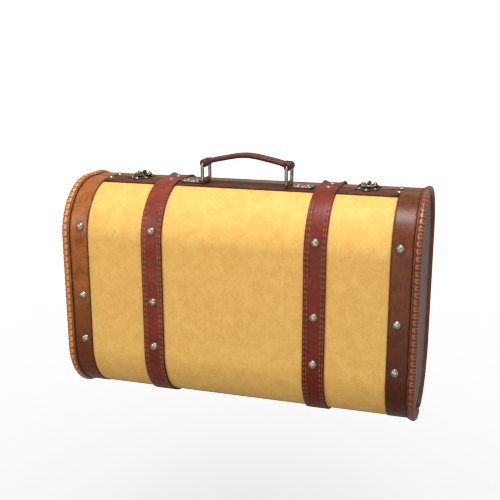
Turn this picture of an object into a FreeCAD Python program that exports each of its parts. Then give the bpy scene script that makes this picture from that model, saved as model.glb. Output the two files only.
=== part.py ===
"""Vintage suitcase: two D-shaped halves of bent ply, hinged at the bottom, with straps, trims,
turn-knob latches and a carrying handle.

Millimetres. +X runs along the case, +Z is up and the front face looks towards -Y. The origin is
the middle of the footprint, on the surface that the case stands on. The halves meet at y = 0.
"""
import FreeCAD, Part
import math
import os

Vector = FreeCAD.Vector
X_AXIS = Vector(1, 0, 0)
Y_AXIS = Vector(0, 1, 0)
Z_AXIS = Vector(0, 0, 1)

# Wooden carcass of one half
wood_half_depth = 79.0       # from the seam to the face
wood_height = 271.0
corner_radius = 65.0         # bent corners at the top and the bottom
wood_length = 420.0          # wrap and bands, up to the end trims
wrap_thickness = 4.0
end_board_thickness = 6.0
end_panel_thickness = 5.8
seam_gap = 0.6               # between the closed halves
batten_depth = 12.0
batten_height = 12.0
lining_thickness = 0.5

# Outer skins
glue_line = 0.1              # left between bent layers
cover_thickness = 0.8
rim_thickness = 1.6          # rims and bands
rim_width = 31.0             # measured along the surface from the seam
band_width = 24.3
butt_gap = 0.1               # between skins that meet edge to edge

# Straps
strap_clear = 3.05           # from the handle's plates to the straps
strap_width = 26.5
strap_thickness = 2.3        # over the cover
strap_top_gap = 1.0          # from the seam to the strap's top end
bottom_clear = 6.5           # from the seam to strap and trim ends below, so that the lid can swing

# End trims
trim_radius = 4.9
trim_proud = 3.0             # how far the trim stands above the bands
trim_end_round = 1.5

# Domed rivets
rivet_heights = (50.6, 133.1, 220.8)   # above the underside of the wood
rivet_radius = 5.2
rivet_dome = 3.5
rivet_inset = 14.1           # from the wood's end to the bands' rivets
top_rivet_radius = 4.0
top_rivet_dome = 1.6
top_rivet_y = 12.5
rim_rivet_inset = 26.0
shank_radius = 1.5
shank_bite = 2.5             # into the wood
shank_clear = 0.05

# Hinges under the case
hinge_clear = 8.25           # from the straps to the hinges
hinge_length = 42.0
hinge_leaf_depth = 11.0
hinge_leaf_thickness = 1.0
knuckle_radius = 2.4
knuckle_gap = 0.3
knuckle_relief = 0.5
hinge_pin_radius = 1.2
pin_clear = 0.05
hinge_screw_spacing = 14.0
screw_head_radius = 2.4
screw_head_height = 0.9
screw_shank_radius = 1.1
screw_bite = 5.0

# Latches on top
latch_shift = 2.875          # towards the strap, from midway between it and the rim's rivet
latch_plate_thickness = 1.0
latch_plate_width = 16.0
latch_plate_depth = 13.0
latch_lobe_radius = 5.2
latch_lobe_x = 9.6
latch_plate_start = 2.2      # from the seam to the plates' inner edges
barrel_radius = 1.6
barrel_clear = 0.2
barrel_length = 15.0
barrel_y = 4.6               # from the seam to the hasp's pin
hasp_knuckle_length = 7.4
hasp_pin_radius = 0.8
hasp_thickness = 1.2
hasp_width = 15.0
hasp_reach = 18.2            # from the pin to the prongs' tips
hasp_ear_radius = 4.2
knob_y = 8.0
knob_post_radius = 2.2
knob_head_length = 9.6
knob_head_width = 4.5
knob_head_height = 5.0
knob_clear = 0.3
knob_stem_radius = 1.3
knob_stem_length = 3.0
latch_screw_radius = 1.7
latch_screw_dome = 0.9
latch_screw_shank = 0.8

# Carrying handle
handle_y = -15.0
ring_x = 52.8
ring_width = 27.0            # between leg centres
ring_height = 21.8           # between bar centres
ring_wire = 1.7              # wire radius
ring_corner = 3.0
tab_thickness = 1.3
tab_width = 16.0
tab_reach = 27.0             # tail, outwards from the ring
tab_clear = 0.2
plate_thickness = 1.0
plate_width = 18.0
plate_start = 4.4            # from the ring's plane to the plate
plate_length = 27.0
plate_rivet_inset = 7.0
plate_rivet_spacing = 12.5
plate_rivet_radius = 3.4
grip_rise = 10.75            # arch of the grip's centre line
grip_thickness = 5.5
grip_width = 17.0
grip_end_radius = 4.8
grip_clear = 0.25            # round the bars, and from the bars' bends
grip_round = 2.2

# Worked out from the sizes above
cover_outer = glue_line + cover_thickness
rim_outer = glue_line + rim_thickness
strap_outer = cover_outer + glue_line + strap_thickness
wood_bottom = rim_outer + trim_proud
wood_top = wood_bottom + wood_height
rim_top = wood_top + rim_outer
hinge_z = wood_bottom - rim_outer
flat_length = wood_half_depth - corner_radius
arc_length = corner_radius * math.pi / 2
face_length = wood_height - 2 * corner_radius
girth = 2 * flat_length + 2 * arc_length + face_length
wood_end = wood_length / 2
rim_rivet_x = wood_end - rim_rivet_inset
strap_x = ring_x + plate_start + plate_length + strap_clear + strap_width / 2
strap_side_x = strap_x + strap_width / 2
hinge_x = strap_side_x + hinge_clear + hinge_length / 2
latch_x = (strap_side_x + rim_rivet_x) / 2 - latch_shift
seam_edge = seam_gap / 2
trim_offset = rim_outer + trim_proud - trim_radius
trim_x = wood_end + butt_gap + trim_radius
grip_end_width = ring_width - 2 * (ring_corner + grip_clear)
FRONT = -1
BACK = 1
LEFT = -1
RIGHT = 1
HALVES = {"front": FRONT, "back": BACK}
ENDS = {"left": LEFT, "right": RIGHT}


def surface_point(station, offset):
    """Distance from the seam plane and height, at a station along the outside of the wood.

    A station is measured round the D from the seam at the top to the seam at the bottom, and
    offset lifts the point square off the wood.
    """
    upper = wood_top - corner_radius
    lower = wood_bottom + corner_radius
    reach = corner_radius + offset
    s = station
    if s <= flat_length:
        return s, wood_top + offset
    s -= flat_length
    if s <= arc_length:
        turn = s / corner_radius
        return flat_length + reach * math.sin(turn), upper + reach * math.cos(turn)
    s -= arc_length
    if s <= face_length:
        return wood_half_depth + offset, upper - s
    s -= face_length
    if s <= arc_length:
        turn = s / corner_radius
        return flat_length + reach * math.cos(turn), lower - reach * math.sin(turn)
    s -= arc_length
    return flat_length - s, wood_bottom - offset


def station_at_y(y, offset):
    """Station on the top, or its corner, of a point at a distance from the seam plane."""
    if y <= flat_length:
        return y
    return flat_length + corner_radius * math.asin((y - flat_length) / (corner_radius + offset))


def surface_turn(station):
    """Angle in degrees from straight up to the outward normal at a station."""
    turned = min(max(station - flat_length, 0), arc_length)
    turned += min(max(station - flat_length - arc_length - face_length, 0), arc_length)
    return math.degrees(turned / corner_radius)


def station_at_height(height):
    """Station of a point on the face or its corners, at a height above the wood's underside."""
    z = wood_bottom + height
    upper = wood_top - corner_radius
    lower = wood_bottom + corner_radius
    if z > upper:
        return flat_length + corner_radius * math.acos((z - upper) / corner_radius)
    if z < lower:
        return girth - flat_length - corner_radius * math.acos((lower - z) / corner_radius)
    return flat_length + arc_length + upper - z


def surface_edges(side, start, end, offset, x):
    """Lines and arcs that follow the D from one station to another."""
    joints = [flat_length, flat_length + arc_length]
    joints += [girth - joints[1], girth - joints[0]]
    low = min(start, end)
    high = max(start, end)
    stops = [low] + [j for j in joints if low < j < high] + [high]
    edges = []
    for first, last in zip(stops, stops[1:]):
        spots = []
        for station in (first, (first + last) / 2, last):
            y, z = surface_point(station, offset)
            spots.append(Vector(x, side * y, z))
        if abs(surface_turn(last) - surface_turn(first)) > 1e-6:
            edges.append(Part.Arc(*spots).toShape())
        else:
            edges.append(Part.makeLine(spots[0], spots[2]))
    return edges


def bent_strip(side, outer, steps, x_start, x_end):
    """A strip bent round the D: one outer offset, and inner offsets as (start, end, offset)."""
    edges = surface_edges(side, steps[0][0], steps[-1][1], outer, x_start)
    corners = []
    for start, end, offset in steps:
        edges += surface_edges(side, start, end, offset, x_start)
        for station in (start, end):
            y, z = surface_point(station, offset)
            corners.append(Vector(x_start, side * y, z))
    for station, corner in ((steps[0][0], corners[0]), (steps[-1][1], corners[-1])):
        y, z = surface_point(station, outer)
        edges.append(Part.makeLine(Vector(x_start, side * y, z), corner))
    for near, far in zip(corners[1:-1:2], corners[2::2]):
        edges.append(Part.makeLine(near, far))
    face = Part.Face(Part.Wire(Part.sortEdges(edges)[0]))
    return face.extrude(Vector(x_end - x_start, 0, 0))


def d_plate(side, offset, y_start, x_start, x_end):
    """A flat D-shaped plate across the half, from a distance off the seam."""
    start = station_at_y(y_start, offset)
    edges = surface_edges(side, start, girth - start, offset, x_start)
    y, top = surface_point(start, offset)
    bottom = surface_point(girth - start, offset)[1]
    edges.append(Part.makeLine(Vector(x_start, side * y, top), Vector(x_start, side * y, bottom)))
    face = Part.Face(Part.Wire(Part.sortEdges(edges)[0]))
    return face.extrude(Vector(x_end - x_start, 0, 0))


def block(x_span, y_span, z_span):
    """A box from the two limits along each axis, in either order."""
    spans = [sorted(span) for span in (x_span, y_span, z_span)]
    sizes = [high - low for low, high in spans]
    return Part.makeBox(*sizes, Vector(*[span[0] for span in spans]))


def rod(radius, start, length, direction=Z_AXIS):
    """A round bar from a start point."""
    return Part.makeCylinder(radius, length, start, direction)


def dome(radius, height):
    """A spherical cap standing on the origin."""
    ball = (radius ** 2 + height ** 2) / (2 * height)
    rim_angle = math.degrees(math.asin((ball - height) / ball))
    return Part.makeSphere(ball, Vector(0, 0, height - ball), Z_AXIS, rim_angle, 90, 360)


def set_on_surface(shape, side, x, station, offset):
    """Turns a shape that stands on the origin square to the D and moves it there."""
    placed = shape.copy()
    placed.rotate(Vector(0, 0, 0), X_AXIS, -side * surface_turn(station))
    y, z = surface_point(station, offset)
    placed.translate(Vector(x, side * y, z))
    return placed


def rivet(side, x, station, offset, radius, height):
    """A domed rivet and its bore, driven square through the skins into the wood."""
    depth = offset + shank_bite
    head = dome(radius, height)
    shank = rod(shank_radius, Vector(0, 0, -depth), depth)
    solid = set_on_surface(head.fuse(shank).removeSplitter(), side, x, station, offset)
    bore = rod(shank_radius + shank_clear, Vector(0, 0, -depth - shank_clear), depth + shank_clear)
    return solid, set_on_surface(bore, side, x, station, offset)


def rivet_set(spots):
    """Rivets and bores for a list of rivet arguments."""
    pairs = [rivet(*spot) for spot in spots]
    return [pair[0] for pair in pairs], [pair[1] for pair in pairs]


def cut_all(shape, tools):
    """Cuts the tools that reach a shape out of it."""
    near = [tool for tool in tools if tool.BoundBox.intersect(shape.BoundBox)]
    return shape.cut(near) if near else shape


def band_rivets(side):
    """Three rivets on each end band."""
    x = wood_end - rivet_inset
    spots = []
    for end in (LEFT, RIGHT):
        for height in rivet_heights:
            station = station_at_height(height)
            spots.append((side, end * x, station, rim_outer, rivet_radius, rivet_dome))
    return rivet_set(spots)


def strap_rivets(side):
    """Three rivets down each strap, and a flatter one at its top end."""
    spots = []
    for end in (LEFT, RIGHT):
        x = end * strap_x
        for height in rivet_heights:
            station = station_at_height(height)
            spots.append((side, x, station, strap_outer, rivet_radius, rivet_dome))
        spots.append((side, x, top_rivet_y, strap_outer, top_rivet_radius, top_rivet_dome))
    return rivet_set(spots)


def rim_rivets(side):
    """One flat rivet at each end of the top rim."""
    spots = []
    for end in (LEFT, RIGHT):
        x = end * rim_rivet_x
        spots.append((side, x, top_rivet_y, rim_outer, top_rivet_radius, top_rivet_dome))
    return rivet_set(spots)


def strap(side, x):
    """A strap round one half, stepped on its inner side where it crosses the rims."""
    start = seam_edge + strap_top_gap
    end = girth - bottom_clear
    over_rim = rim_outer + glue_line
    over_cover = cover_outer + glue_line
    top_step = rim_width + butt_gap
    steps = [
        (start, top_step, over_rim),
        (top_step, girth - top_step, over_cover),
        (girth - top_step, end, over_rim),
    ]
    return bent_strip(side, strap_outer, steps, x - strap_width / 2, x + strap_width / 2)


def trim(side, x):
    """The round cord that covers the corner between the wrap and the end panel."""
    start = seam_edge
    end = girth - bottom_clear
    path = Part.Wire(surface_edges(side, start, end, trim_offset, x))
    y, z = surface_point(start, trim_offset)
    ring = Part.Wire(Part.makeCircle(trim_radius, Vector(x, side * y, z), Y_AXIS))
    cord = path.makePipeShell([ring], True, False)
    end_rings = [edge for edge in cord.Edges if edge.Closed and abs(edge.CenterOfMass.y) < end_zone()]
    return cord.makeFillet(trim_end_round, end_rings)


def end_zone():
    """Distance from the seam within which only the cords' end rings lie."""
    return bottom_clear + trim_end_round


def mouth_frame(side):
    """Four battens that stiffen the open edge of a half."""
    inner_end = wood_end - end_board_thickness
    top = wood_top - wrap_thickness
    bottom = wood_bottom + wrap_thickness
    y_span = (side * seam_edge, side * batten_depth)
    upper = block((-inner_end, inner_end), y_span, (top - batten_height, top))
    lower = block((-inner_end, inner_end), y_span, (bottom, bottom + batten_height))
    posts = []
    for end in (LEFT, RIGHT):
        x_span = (end * inner_end, end * (inner_end - batten_height))
        posts.append(block(x_span, y_span, (bottom + batten_height, top - batten_height)))
    inside = d_plate(side, -wrap_thickness, seam_edge, -inner_end, inner_end)
    return [inside.common(batten) for batten in [upper, lower] + posts]


def lining(side):
    """Thin lining inside the wrap and on the end boards, up to the battens."""
    outer = -wrap_thickness - glue_line
    inner = outer - lining_thickness
    y_start = batten_depth + butt_gap
    start = station_at_y(y_start, outer)
    face_x = wood_end - end_board_thickness
    sheet_x = face_x - lining_thickness
    sheets = [bent_strip(side, outer, [(start, girth - start, inner)], -face_x, face_x)]
    for end in (LEFT, RIGHT):
        sheets.append(d_plate(side, inner - butt_gap, y_start, end * sheet_x, end * face_x))
    return sheets


def knuckle_reliefs():
    """Grooves that clear the hinge knuckles, along the bottom seam."""
    radius = knuckle_radius + knuckle_relief
    length = hinge_length + 2 * knuckle_gap
    grooves = []
    for end in (LEFT, RIGHT):
        start = Vector(end * hinge_x - length / 2, 0, hinge_z)
        grooves.append(rod(radius, start, length, X_AXIS))
    return grooves


def hinge_leaves(side):
    """Leaves with knuckles: the back leaf has the outer two, the front leaf the middle one."""
    pitch = hinge_length / 3
    slots = (0, 2) if side == BACK else (1,)
    plate_start = knuckle_radius + knuckle_relief
    z_span = (hinge_z - hinge_leaf_thickness, hinge_z)
    leaves = []
    for end in (LEFT, RIGHT):
        x_low = end * hinge_x - hinge_length / 2
        y_span = (side * plate_start, side * (plate_start + hinge_leaf_depth))
        leaf = block((x_low, x_low + hinge_length), y_span, z_span)
        for slot in slots:
            near = x_low + slot * pitch + (knuckle_gap / 2 if slot else 0)
            length = pitch - (knuckle_gap if slot == 1 else knuckle_gap / 2)
            tab = block((near, near + length), (0, side * (plate_start + knuckle_relief)), z_span)
            barrel = rod(knuckle_radius, Vector(near, 0, hinge_z), length, X_AXIS)
            leaf = leaf.fuse([tab, barrel])
        bore = rod(hinge_pin_radius + pin_clear, Vector(x_low, 0, hinge_z), hinge_length, X_AXIS)
        leaves.append(leaf.cut(bore).removeSplitter())
    return leaves


def hinge_pins():
    """One pin through the knuckles of each hinge."""
    pins = []
    for end in (LEFT, RIGHT):
        start = Vector(end * hinge_x - hinge_length / 2, 0, hinge_z)
        pins.append(rod(hinge_pin_radius, start, hinge_length, X_AXIS))
    return pins


def hinge_screws(side):
    """Three screws up through each leaf into the bottom batten, with their bores."""
    y = side * (knuckle_radius + knuckle_relief + hinge_leaf_depth / 2)
    under_leaf = hinge_z - hinge_leaf_thickness
    shank = wood_bottom + wrap_thickness + screw_bite - under_leaf
    screws = []
    bores = []
    for end in (LEFT, RIGHT):
        for step in (-1, 0, 1):
            spot = Vector(end * hinge_x + step * hinge_screw_spacing, y, under_leaf)
            head = dome(screw_head_radius, screw_head_height)
            head.rotate(Vector(0, 0, 0), X_AXIS, 180)
            head.translate(spot)
            screws.append(head.fuse(rod(screw_shank_radius, spot, shank)).removeSplitter())
            bores.append(rod(screw_shank_radius + shank_clear, spot, shank + shank_clear))
    return screws, bores


def latch_outline(side, x):
    """Lobed latch plate lying on the top rim of one half."""
    y_near = side * latch_plate_start
    y_far = side * (latch_plate_start + latch_plate_depth)
    half = latch_plate_width / 2
    top = rim_top + latch_plate_thickness
    plate = block((x - half, x + half), (y_near, y_far), (rim_top, top))
    lobes = []
    for x_shift, y_shift in ((-latch_lobe_x, latch_plate_depth / 2),
                             (latch_lobe_x, latch_plate_depth / 2),
                             (0, latch_plate_depth)):
        spot = Vector(x + x_shift, side * (latch_plate_start + y_shift), rim_top)
        lobes.append(rod(latch_lobe_radius, spot, latch_plate_thickness))
    return plate.fuse(lobes).removeSplitter()


def latch_screws(side):
    """Two small domed screws in the side lobes of each latch plate, with their bores."""
    y = side * (latch_plate_start + latch_plate_depth / 2)
    top = rim_top + latch_plate_thickness
    depth = top - (wood_top - wrap_thickness - screw_bite)
    screws = []
    bores = []
    for end in (LEFT, RIGHT):
        for step in (-1, 1):
            spot = Vector(end * latch_x + step * latch_lobe_x, y, top)
            head = dome(latch_screw_radius, latch_screw_dome)
            head.translate(spot)
            shank = rod(latch_screw_shank, spot, depth, -Z_AXIS)
            screws.append(head.fuse(shank).removeSplitter())
            bores.append(rod(latch_screw_shank + shank_clear, spot, depth + shank_clear, -Z_AXIS))
    return screws, bores


def barrel_height():
    """Height of the hasps' pins."""
    return rim_top + latch_plate_thickness + barrel_clear + barrel_radius


def latch_plate(x):
    """Front latch plate with the two outer knuckles of the hasp's pin."""
    plate = latch_outline(FRONT, x)
    z = barrel_height()
    y = FRONT * barrel_y
    gap = hasp_knuckle_length / 2 + knuckle_gap
    length = barrel_length / 2 - gap
    for end in (LEFT, RIGHT):
        near = x + end * gap
        far = x + end * (gap + length)
        web = block((near, far), (y - barrel_radius, y + barrel_radius), (rim_top, z))
        barrel = rod(barrel_radius, Vector(min(near, far), y, z), length, X_AXIS)
        plate = plate.fuse([web, barrel])
    bore = rod(hasp_pin_radius + pin_clear, Vector(x - barrel_length / 2, y, z), barrel_length, X_AXIS)
    return plate.cut(bore).removeSplitter()


def hasp_pins():
    """The pins that the hasps turn on."""
    start_x = barrel_length / 2
    spots = [Vector(end * latch_x - start_x, FRONT * barrel_y, barrel_height()) for end in (LEFT, RIGHT)]
    return [rod(hasp_pin_radius, spot, barrel_length, X_AXIS) for spot in spots]


def hasp(x):
    """Forked hasp: it swings up off the knob's post and its notch is open at the tips."""
    z = barrel_height()
    y = FRONT * barrel_y
    half = hasp_width / 2
    z_span = (z - hasp_thickness / 2, z + hasp_thickness / 2)
    tip = y + hasp_reach
    notch_half = knob_post_radius + knob_clear
    notch_start = knob_y - knob_head_length / 2 + notch_half - knob_clear
    neck = hasp_knuckle_length / 2
    root = block((x - neck, x + neck), (y, 0), z_span)
    blade = block((x - half, x + half), (0, tip - half / 2), z_span)
    ears = []
    for end in (LEFT, RIGHT):
        middle = (half + notch_half) / 2
        ears.append(rod((half - notch_half) / 2, Vector(x + end * middle, tip - half / 2, z_span[0]),
                        hasp_thickness))
        ears.append(rod(hasp_ear_radius, Vector(x + end * half, knob_y / 2, z_span[0]), hasp_thickness))
    barrel = rod(barrel_radius, Vector(x - neck, y, z), hasp_knuckle_length, X_AXIS)
    notch = block((x - notch_half, x + notch_half), (notch_start, tip + half), z_span)
    notch_end = rod(notch_half, Vector(x, notch_start, z_span[0]), hasp_thickness)
    bore = rod(hasp_pin_radius + pin_clear, Vector(x - neck, y, z), hasp_knuckle_length, X_AXIS)
    solid = root.fuse([blade, barrel] + ears)
    return solid.cut([notch, notch_end, bore]).removeSplitter()


def keeper_plates():
    """Back latch plates, each with the bore that the knob's stem turns in."""
    plates = []
    for end in (LEFT, RIGHT):
        x = end * latch_x
        bore = rod(knob_stem_radius + pin_clear, Vector(x, knob_y, rim_top), latch_plate_thickness)
        plates.append(latch_outline(BACK, x).cut(bore))
    return plates


def knob_bore(x):
    """Bore for a knob's stem in the rim and the wood under it."""
    depth = knob_stem_length + pin_clear
    return rod(knob_stem_radius + pin_clear, Vector(x, knob_y, rim_top), depth, -Z_AXIS)


def knob(x):
    """Turn-knob: stem, post and an oval head that lies along the notch at rest."""
    foot = rim_top + latch_plate_thickness + pin_clear
    head_z = barrel_height() + hasp_thickness / 2 + knob_clear
    stem_z = rim_top - knob_stem_length
    stem = rod(knob_stem_radius, Vector(x, knob_y, stem_z), foot - stem_z)
    post = rod(knob_post_radius, Vector(x, knob_y, foot), head_z - foot + pin_clear)
    half = knob_head_width / 2
    straight = knob_head_length / 2 - half
    z_span = (head_z, head_z + knob_head_height)
    head = block((x - half, x + half), (knob_y - straight, knob_y + straight), z_span)
    for end in (-1, 1):
        head = head.fuse(rod(half, Vector(x, knob_y + end * straight, head_z), knob_head_height))
    head = head.removeSplitter()
    crown = [edge for edge in head.Edges if abs(edge.CenterOfMass.z - z_span[1]) < pin_clear]
    head = head.makeFillet(half / 2, crown)
    return head.fuse([post, stem]).removeSplitter()


def ring_bar_z():
    """Height of the rings' lower bars, held in the tabs."""
    return rim_top + tab_thickness + tab_clear + ring_wire


def ring(x):
    """A wire ring: a rounded rectangle standing across the case."""
    low = ring_bar_z()
    high = low + ring_height
    y_low = handle_y - ring_width / 2
    y_high = handle_y + ring_width / 2
    c = ring_corner
    diagonal = c * (1 - math.sqrt(0.5))
    starts = [(y_low + c, low), (y_high, low + c), (y_high - c, high), (y_low, high - c)]
    ends = [(y_high - c, low), (y_high, high - c), (y_low + c, high), (y_low, low + c)]
    mids = [(y_high - diagonal, low + diagonal), (y_high - diagonal, high - diagonal),
            (y_low + diagonal, high - diagonal), (y_low + diagonal, low + diagonal)]
    edges = []
    for index in range(4):
        start, end, mid = starts[index], ends[index], mids[index]
        after = starts[(index + 1) % 4]
        edges.append(Part.makeLine(Vector(x, *start), Vector(x, *end)))
        edges.append(Part.Arc(Vector(x, *end), Vector(x, *mid), Vector(x, *after)).toShape())
    path = Part.Wire(edges)
    middle = Vector(x, starts[0][0], starts[0][1])
    section = Part.Wire(Part.makeCircle(ring_wire, middle, Y_AXIS))
    return path.makePipeShell([section], True, False)


def handle_tabs():
    """Leather tabs that loop round the rings' lower bars and run out under the plates."""
    tabs = []
    outer = ring_wire + tab_clear + tab_thickness
    y_low = handle_y - tab_width / 2
    y_high = handle_y + tab_width / 2
    for end in (LEFT, RIGHT):
        x = end * ring_x
        tail = block((x, x + end * tab_reach), (y_low, y_high), (rim_top, rim_top + tab_thickness))
        loop = rod(outer, Vector(x, y_low, ring_bar_z()), tab_width, Y_AXIS)
        bore = rod(ring_wire + tab_clear, Vector(x, y_low, ring_bar_z()), tab_width, Y_AXIS)
        tabs.append(loop.fuse(tail).cut(bore).removeSplitter())
    return tabs


def handle_plates():
    """Metal plates that clamp the tabs, bent down at both sides to the rim."""
    plates = []
    low = rim_top + tab_thickness
    for end in (LEFT, RIGHT):
        x_near = end * (ring_x + plate_start)
        x_far = x_near + end * plate_length
        y_low = handle_y - plate_width / 2
        y_high = handle_y + plate_width / 2
        plate = block((x_near, x_far), (y_low, y_high), (low, low + plate_thickness))
        corners = [edge for edge in plate.Edges if edge.BoundBox.ZLength > plate_thickness / 2]
        plates.append(plate.makeFillet(plate_width / 4, corners))
    return plates


def handle_rivets():
    """Two rivets through each plate and tab into the front rim."""
    spots = []
    lift = rim_outer + tab_thickness + plate_thickness
    for end in (LEFT, RIGHT):
        for step in (0, 1):
            x = end * (ring_x + plate_start + plate_rivet_inset + step * plate_rivet_spacing)
            spots.append((x, lift))
    solids = []
    bores = []
    for x, offset in spots:
        depth = offset + shank_bite
        spot = Vector(x, handle_y, wood_top + offset)
        head = dome(plate_rivet_radius, top_rivet_dome)
        head.translate(spot)
        solids.append(head.fuse(rod(shank_radius, spot, depth, -Z_AXIS)).removeSplitter())
        bores.append(rod(shank_radius + shank_clear, spot, depth + shank_clear, -Z_AXIS))
    return solids, bores


def grip():
    """Arched leather grip whose ends loop round the rings' upper bars."""
    z = ring_bar_z() + ring_height
    radius = (ring_x ** 2 + grip_rise ** 2) / (2 * grip_rise)
    centre_z = z + grip_rise - radius
    spread = math.asin(ring_x / radius)
    y_low = handle_y - grip_width / 2
    edges = []
    tips = []
    for lift in (grip_thickness / 2, -grip_thickness / 2):
        spots = []
        for angle in (-spread, 0, spread):
            reach = radius + lift
            spots.append(Vector(reach * math.sin(angle), y_low, centre_z + reach * math.cos(angle)))
        edges.append(Part.Arc(*spots).toShape())
        tips.append((spots[0], spots[2]))
    edges += [Part.makeLine(tips[0][side], tips[1][side]) for side in (0, 1)]
    face = Part.Face(Part.Wire(Part.sortEdges(edges)[0]))
    bar = face.extrude(Vector(0, grip_width, 0))
    long_edges = [edge for edge in bar.Edges if edge.Length > ring_x]
    bar = bar.makeFillet(grip_round, long_edges)
    loops = []
    bores = []
    for end in (LEFT, RIGHT):
        start = Vector(end * ring_x, handle_y - grip_end_width / 2, z)
        loops.append(rod(grip_end_radius, start, grip_end_width, Y_AXIS))
        bores.append(rod(ring_wire + grip_clear, start, grip_end_width, Y_AXIS))
    return bar.fuse(loops).cut(bores).removeSplitter()


def build_half(name, side):
    """All the nodes of one half, as a dictionary of solids."""
    nodes = {}
    rivet_sets = {
        "band_rivets": band_rivets(side),
        "strap_rivets": strap_rivets(side),
        "rim_rivets": rim_rivets(side),
    }
    bores = []
    for label, (solids, holes) in rivet_sets.items():
        nodes[f"{name}_{label}"] = solids
        bores += holes
    screws, holes = hinge_screws(side)
    nodes[f"{name}_hinge_screws"] = screws
    bores += holes
    screws, holes = latch_screws(side)
    nodes[f"{name}_latch_screws"] = screws
    bores += holes
    if side == FRONT:
        nodes["handle_rivets"], holes = handle_rivets()
        bores += holes
    else:
        bores += [knob_bore(end * latch_x) for end in (LEFT, RIGHT)]
    cuts = bores + knuckle_reliefs()

    inner = -wrap_thickness
    span = (seam_edge, girth - seam_edge)
    wrap = bent_strip(side, 0, [(*span, inner)], -wood_end, wood_end)
    nodes[f"{name}_wrap"] = [cut_all(wrap, cuts)]
    nodes[f"{name}_mouth_frame"] = [cut_all(batten, cuts) for batten in mouth_frame(side)]
    nodes[f"{name}_lining"] = [cut_all(sheet, cuts) for sheet in lining(side)]

    band_start = wood_end - band_width
    skin_span = (rim_width + butt_gap, girth - rim_width - butt_gap)
    cover_x = band_start - butt_gap
    cover = bent_strip(side, cover_outer, [(*skin_span, glue_line)], -cover_x, cover_x)
    nodes[f"{name}_cover"] = [cut_all(cover, cuts)]
    top_rim = bent_strip(side, rim_outer, [(seam_edge, rim_width, glue_line)], -cover_x, cover_x)
    nodes[f"{name}_top_rim"] = [cut_all(top_rim, cuts)]
    low_span = (girth - rim_width, girth - seam_edge, glue_line)
    bottom_rim = bent_strip(side, rim_outer, [low_span], -cover_x, cover_x)
    nodes[f"{name}_bottom_rim"] = [cut_all(bottom_rim, cuts)]

    for end_name, end in ENDS.items():
        band = bent_strip(side, rim_outer, [(*span, glue_line)], end * band_start, end * wood_end)
        nodes[f"{name}_band_{end_name}"] = [cut_all(band, cuts)]
        board_x = wood_end - end_board_thickness
        board = d_plate(side, inner - glue_line, seam_edge, end * board_x, end * wood_end)
        nodes[f"{name}_end_board_{end_name}"] = [board]
        panel_inset = trim_offset - trim_radius - glue_line
        panel_end = wood_end + end_panel_thickness
        panel = d_plate(side, panel_inset, seam_edge, end * wood_end, end * panel_end)
        nodes[f"{name}_end_panel_{end_name}"] = [panel]
        nodes[f"{name}_trim_{end_name}"] = [trim(side, end * trim_x)]
        nodes[f"{name}_strap_{end_name}"] = [cut_all(strap(side, end * strap_x), cuts)]
    return nodes, bores


def build_all():
    """Every node of the suitcase."""
    nodes = {}
    bores = {}
    for name, side in HALVES.items():
        half, bores[side] = build_half(name, side)
        nodes.update(half)
        nodes[f"hinge_{name}_leaves"] = [cut_all(leaf, bores[side]) for leaf in hinge_leaves(side)]
    nodes["hinge_pins"] = hinge_pins()
    nodes["hasp_pins"] = hasp_pins()
    nodes["keeper_plates"] = [cut_all(plate, bores[BACK]) for plate in keeper_plates()]
    for end_name, end in ENDS.items():
        x = end * latch_x
        nodes[f"latch_plate_{end_name}"] = [cut_all(latch_plate(x), bores[FRONT])]
        nodes[f"hasp_{end_name}"] = [hasp(x)]
        nodes[f"knob_{end_name}"] = [knob(x)]
        nodes[f"ring_{end_name}"] = [ring(end * ring_x)]
    nodes["handle_tabs"] = [cut_all(tab, bores[FRONT]) for tab in handle_tabs()]
    nodes["handle_plates"] = [cut_all(plate, bores[FRONT]) for plate in handle_plates()]
    nodes["grip"] = [grip()]
    return nodes


def main():
    """Builds the suitcase and writes one STEP file for each node."""
    os.makedirs("parts", exist_ok=True)
    for name, pieces in sorted(build_all().items()):
        solids = [solid for piece in pieces for solid in piece.Solids]
        shape = solids[0] if len(solids) == 1 else Part.makeCompound(solids)
        shape.exportStep(f"parts/{name}.step")
        box = shape.BoundBox
        sizes = f"{box.XLength:.1f} x {box.YLength:.1f} x {box.ZLength:.1f}"
        print(f"{name}: {len(solids)} solids, {shape.Volume:.0f} mm3, {sizes}, valid {shape.isValid()}")


main()
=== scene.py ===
"""Looks of the vintage suitcase: skins, laced trims, straps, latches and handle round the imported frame."""

import logging
import math
from dataclasses import dataclass, field, replace
from enum import Enum
from typing import Any, Callable, Sequence

import bmesh
import bpy
from mathutils import Matrix, Vector


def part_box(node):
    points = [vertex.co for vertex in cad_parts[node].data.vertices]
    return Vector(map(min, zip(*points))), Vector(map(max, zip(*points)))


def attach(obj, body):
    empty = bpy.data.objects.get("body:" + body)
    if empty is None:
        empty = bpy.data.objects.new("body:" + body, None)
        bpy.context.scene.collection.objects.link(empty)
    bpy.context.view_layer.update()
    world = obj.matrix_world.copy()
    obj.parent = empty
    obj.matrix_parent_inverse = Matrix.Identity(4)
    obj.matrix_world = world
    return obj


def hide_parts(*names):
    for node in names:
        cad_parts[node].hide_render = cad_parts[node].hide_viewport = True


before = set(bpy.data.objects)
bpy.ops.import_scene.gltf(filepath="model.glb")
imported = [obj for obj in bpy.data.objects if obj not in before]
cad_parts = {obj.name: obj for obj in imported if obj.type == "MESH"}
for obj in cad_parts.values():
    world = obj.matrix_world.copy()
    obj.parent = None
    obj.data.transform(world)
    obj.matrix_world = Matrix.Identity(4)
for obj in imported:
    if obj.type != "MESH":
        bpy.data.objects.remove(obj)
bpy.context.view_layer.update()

log = logging.getLogger("suitcase")

Colour = tuple[float, float, float, float]
Span = tuple[float, float]
Piece = bpy.types.Object
Socket = bpy.types.NodeSocket
MM = 0.001
SEED = 11


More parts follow.
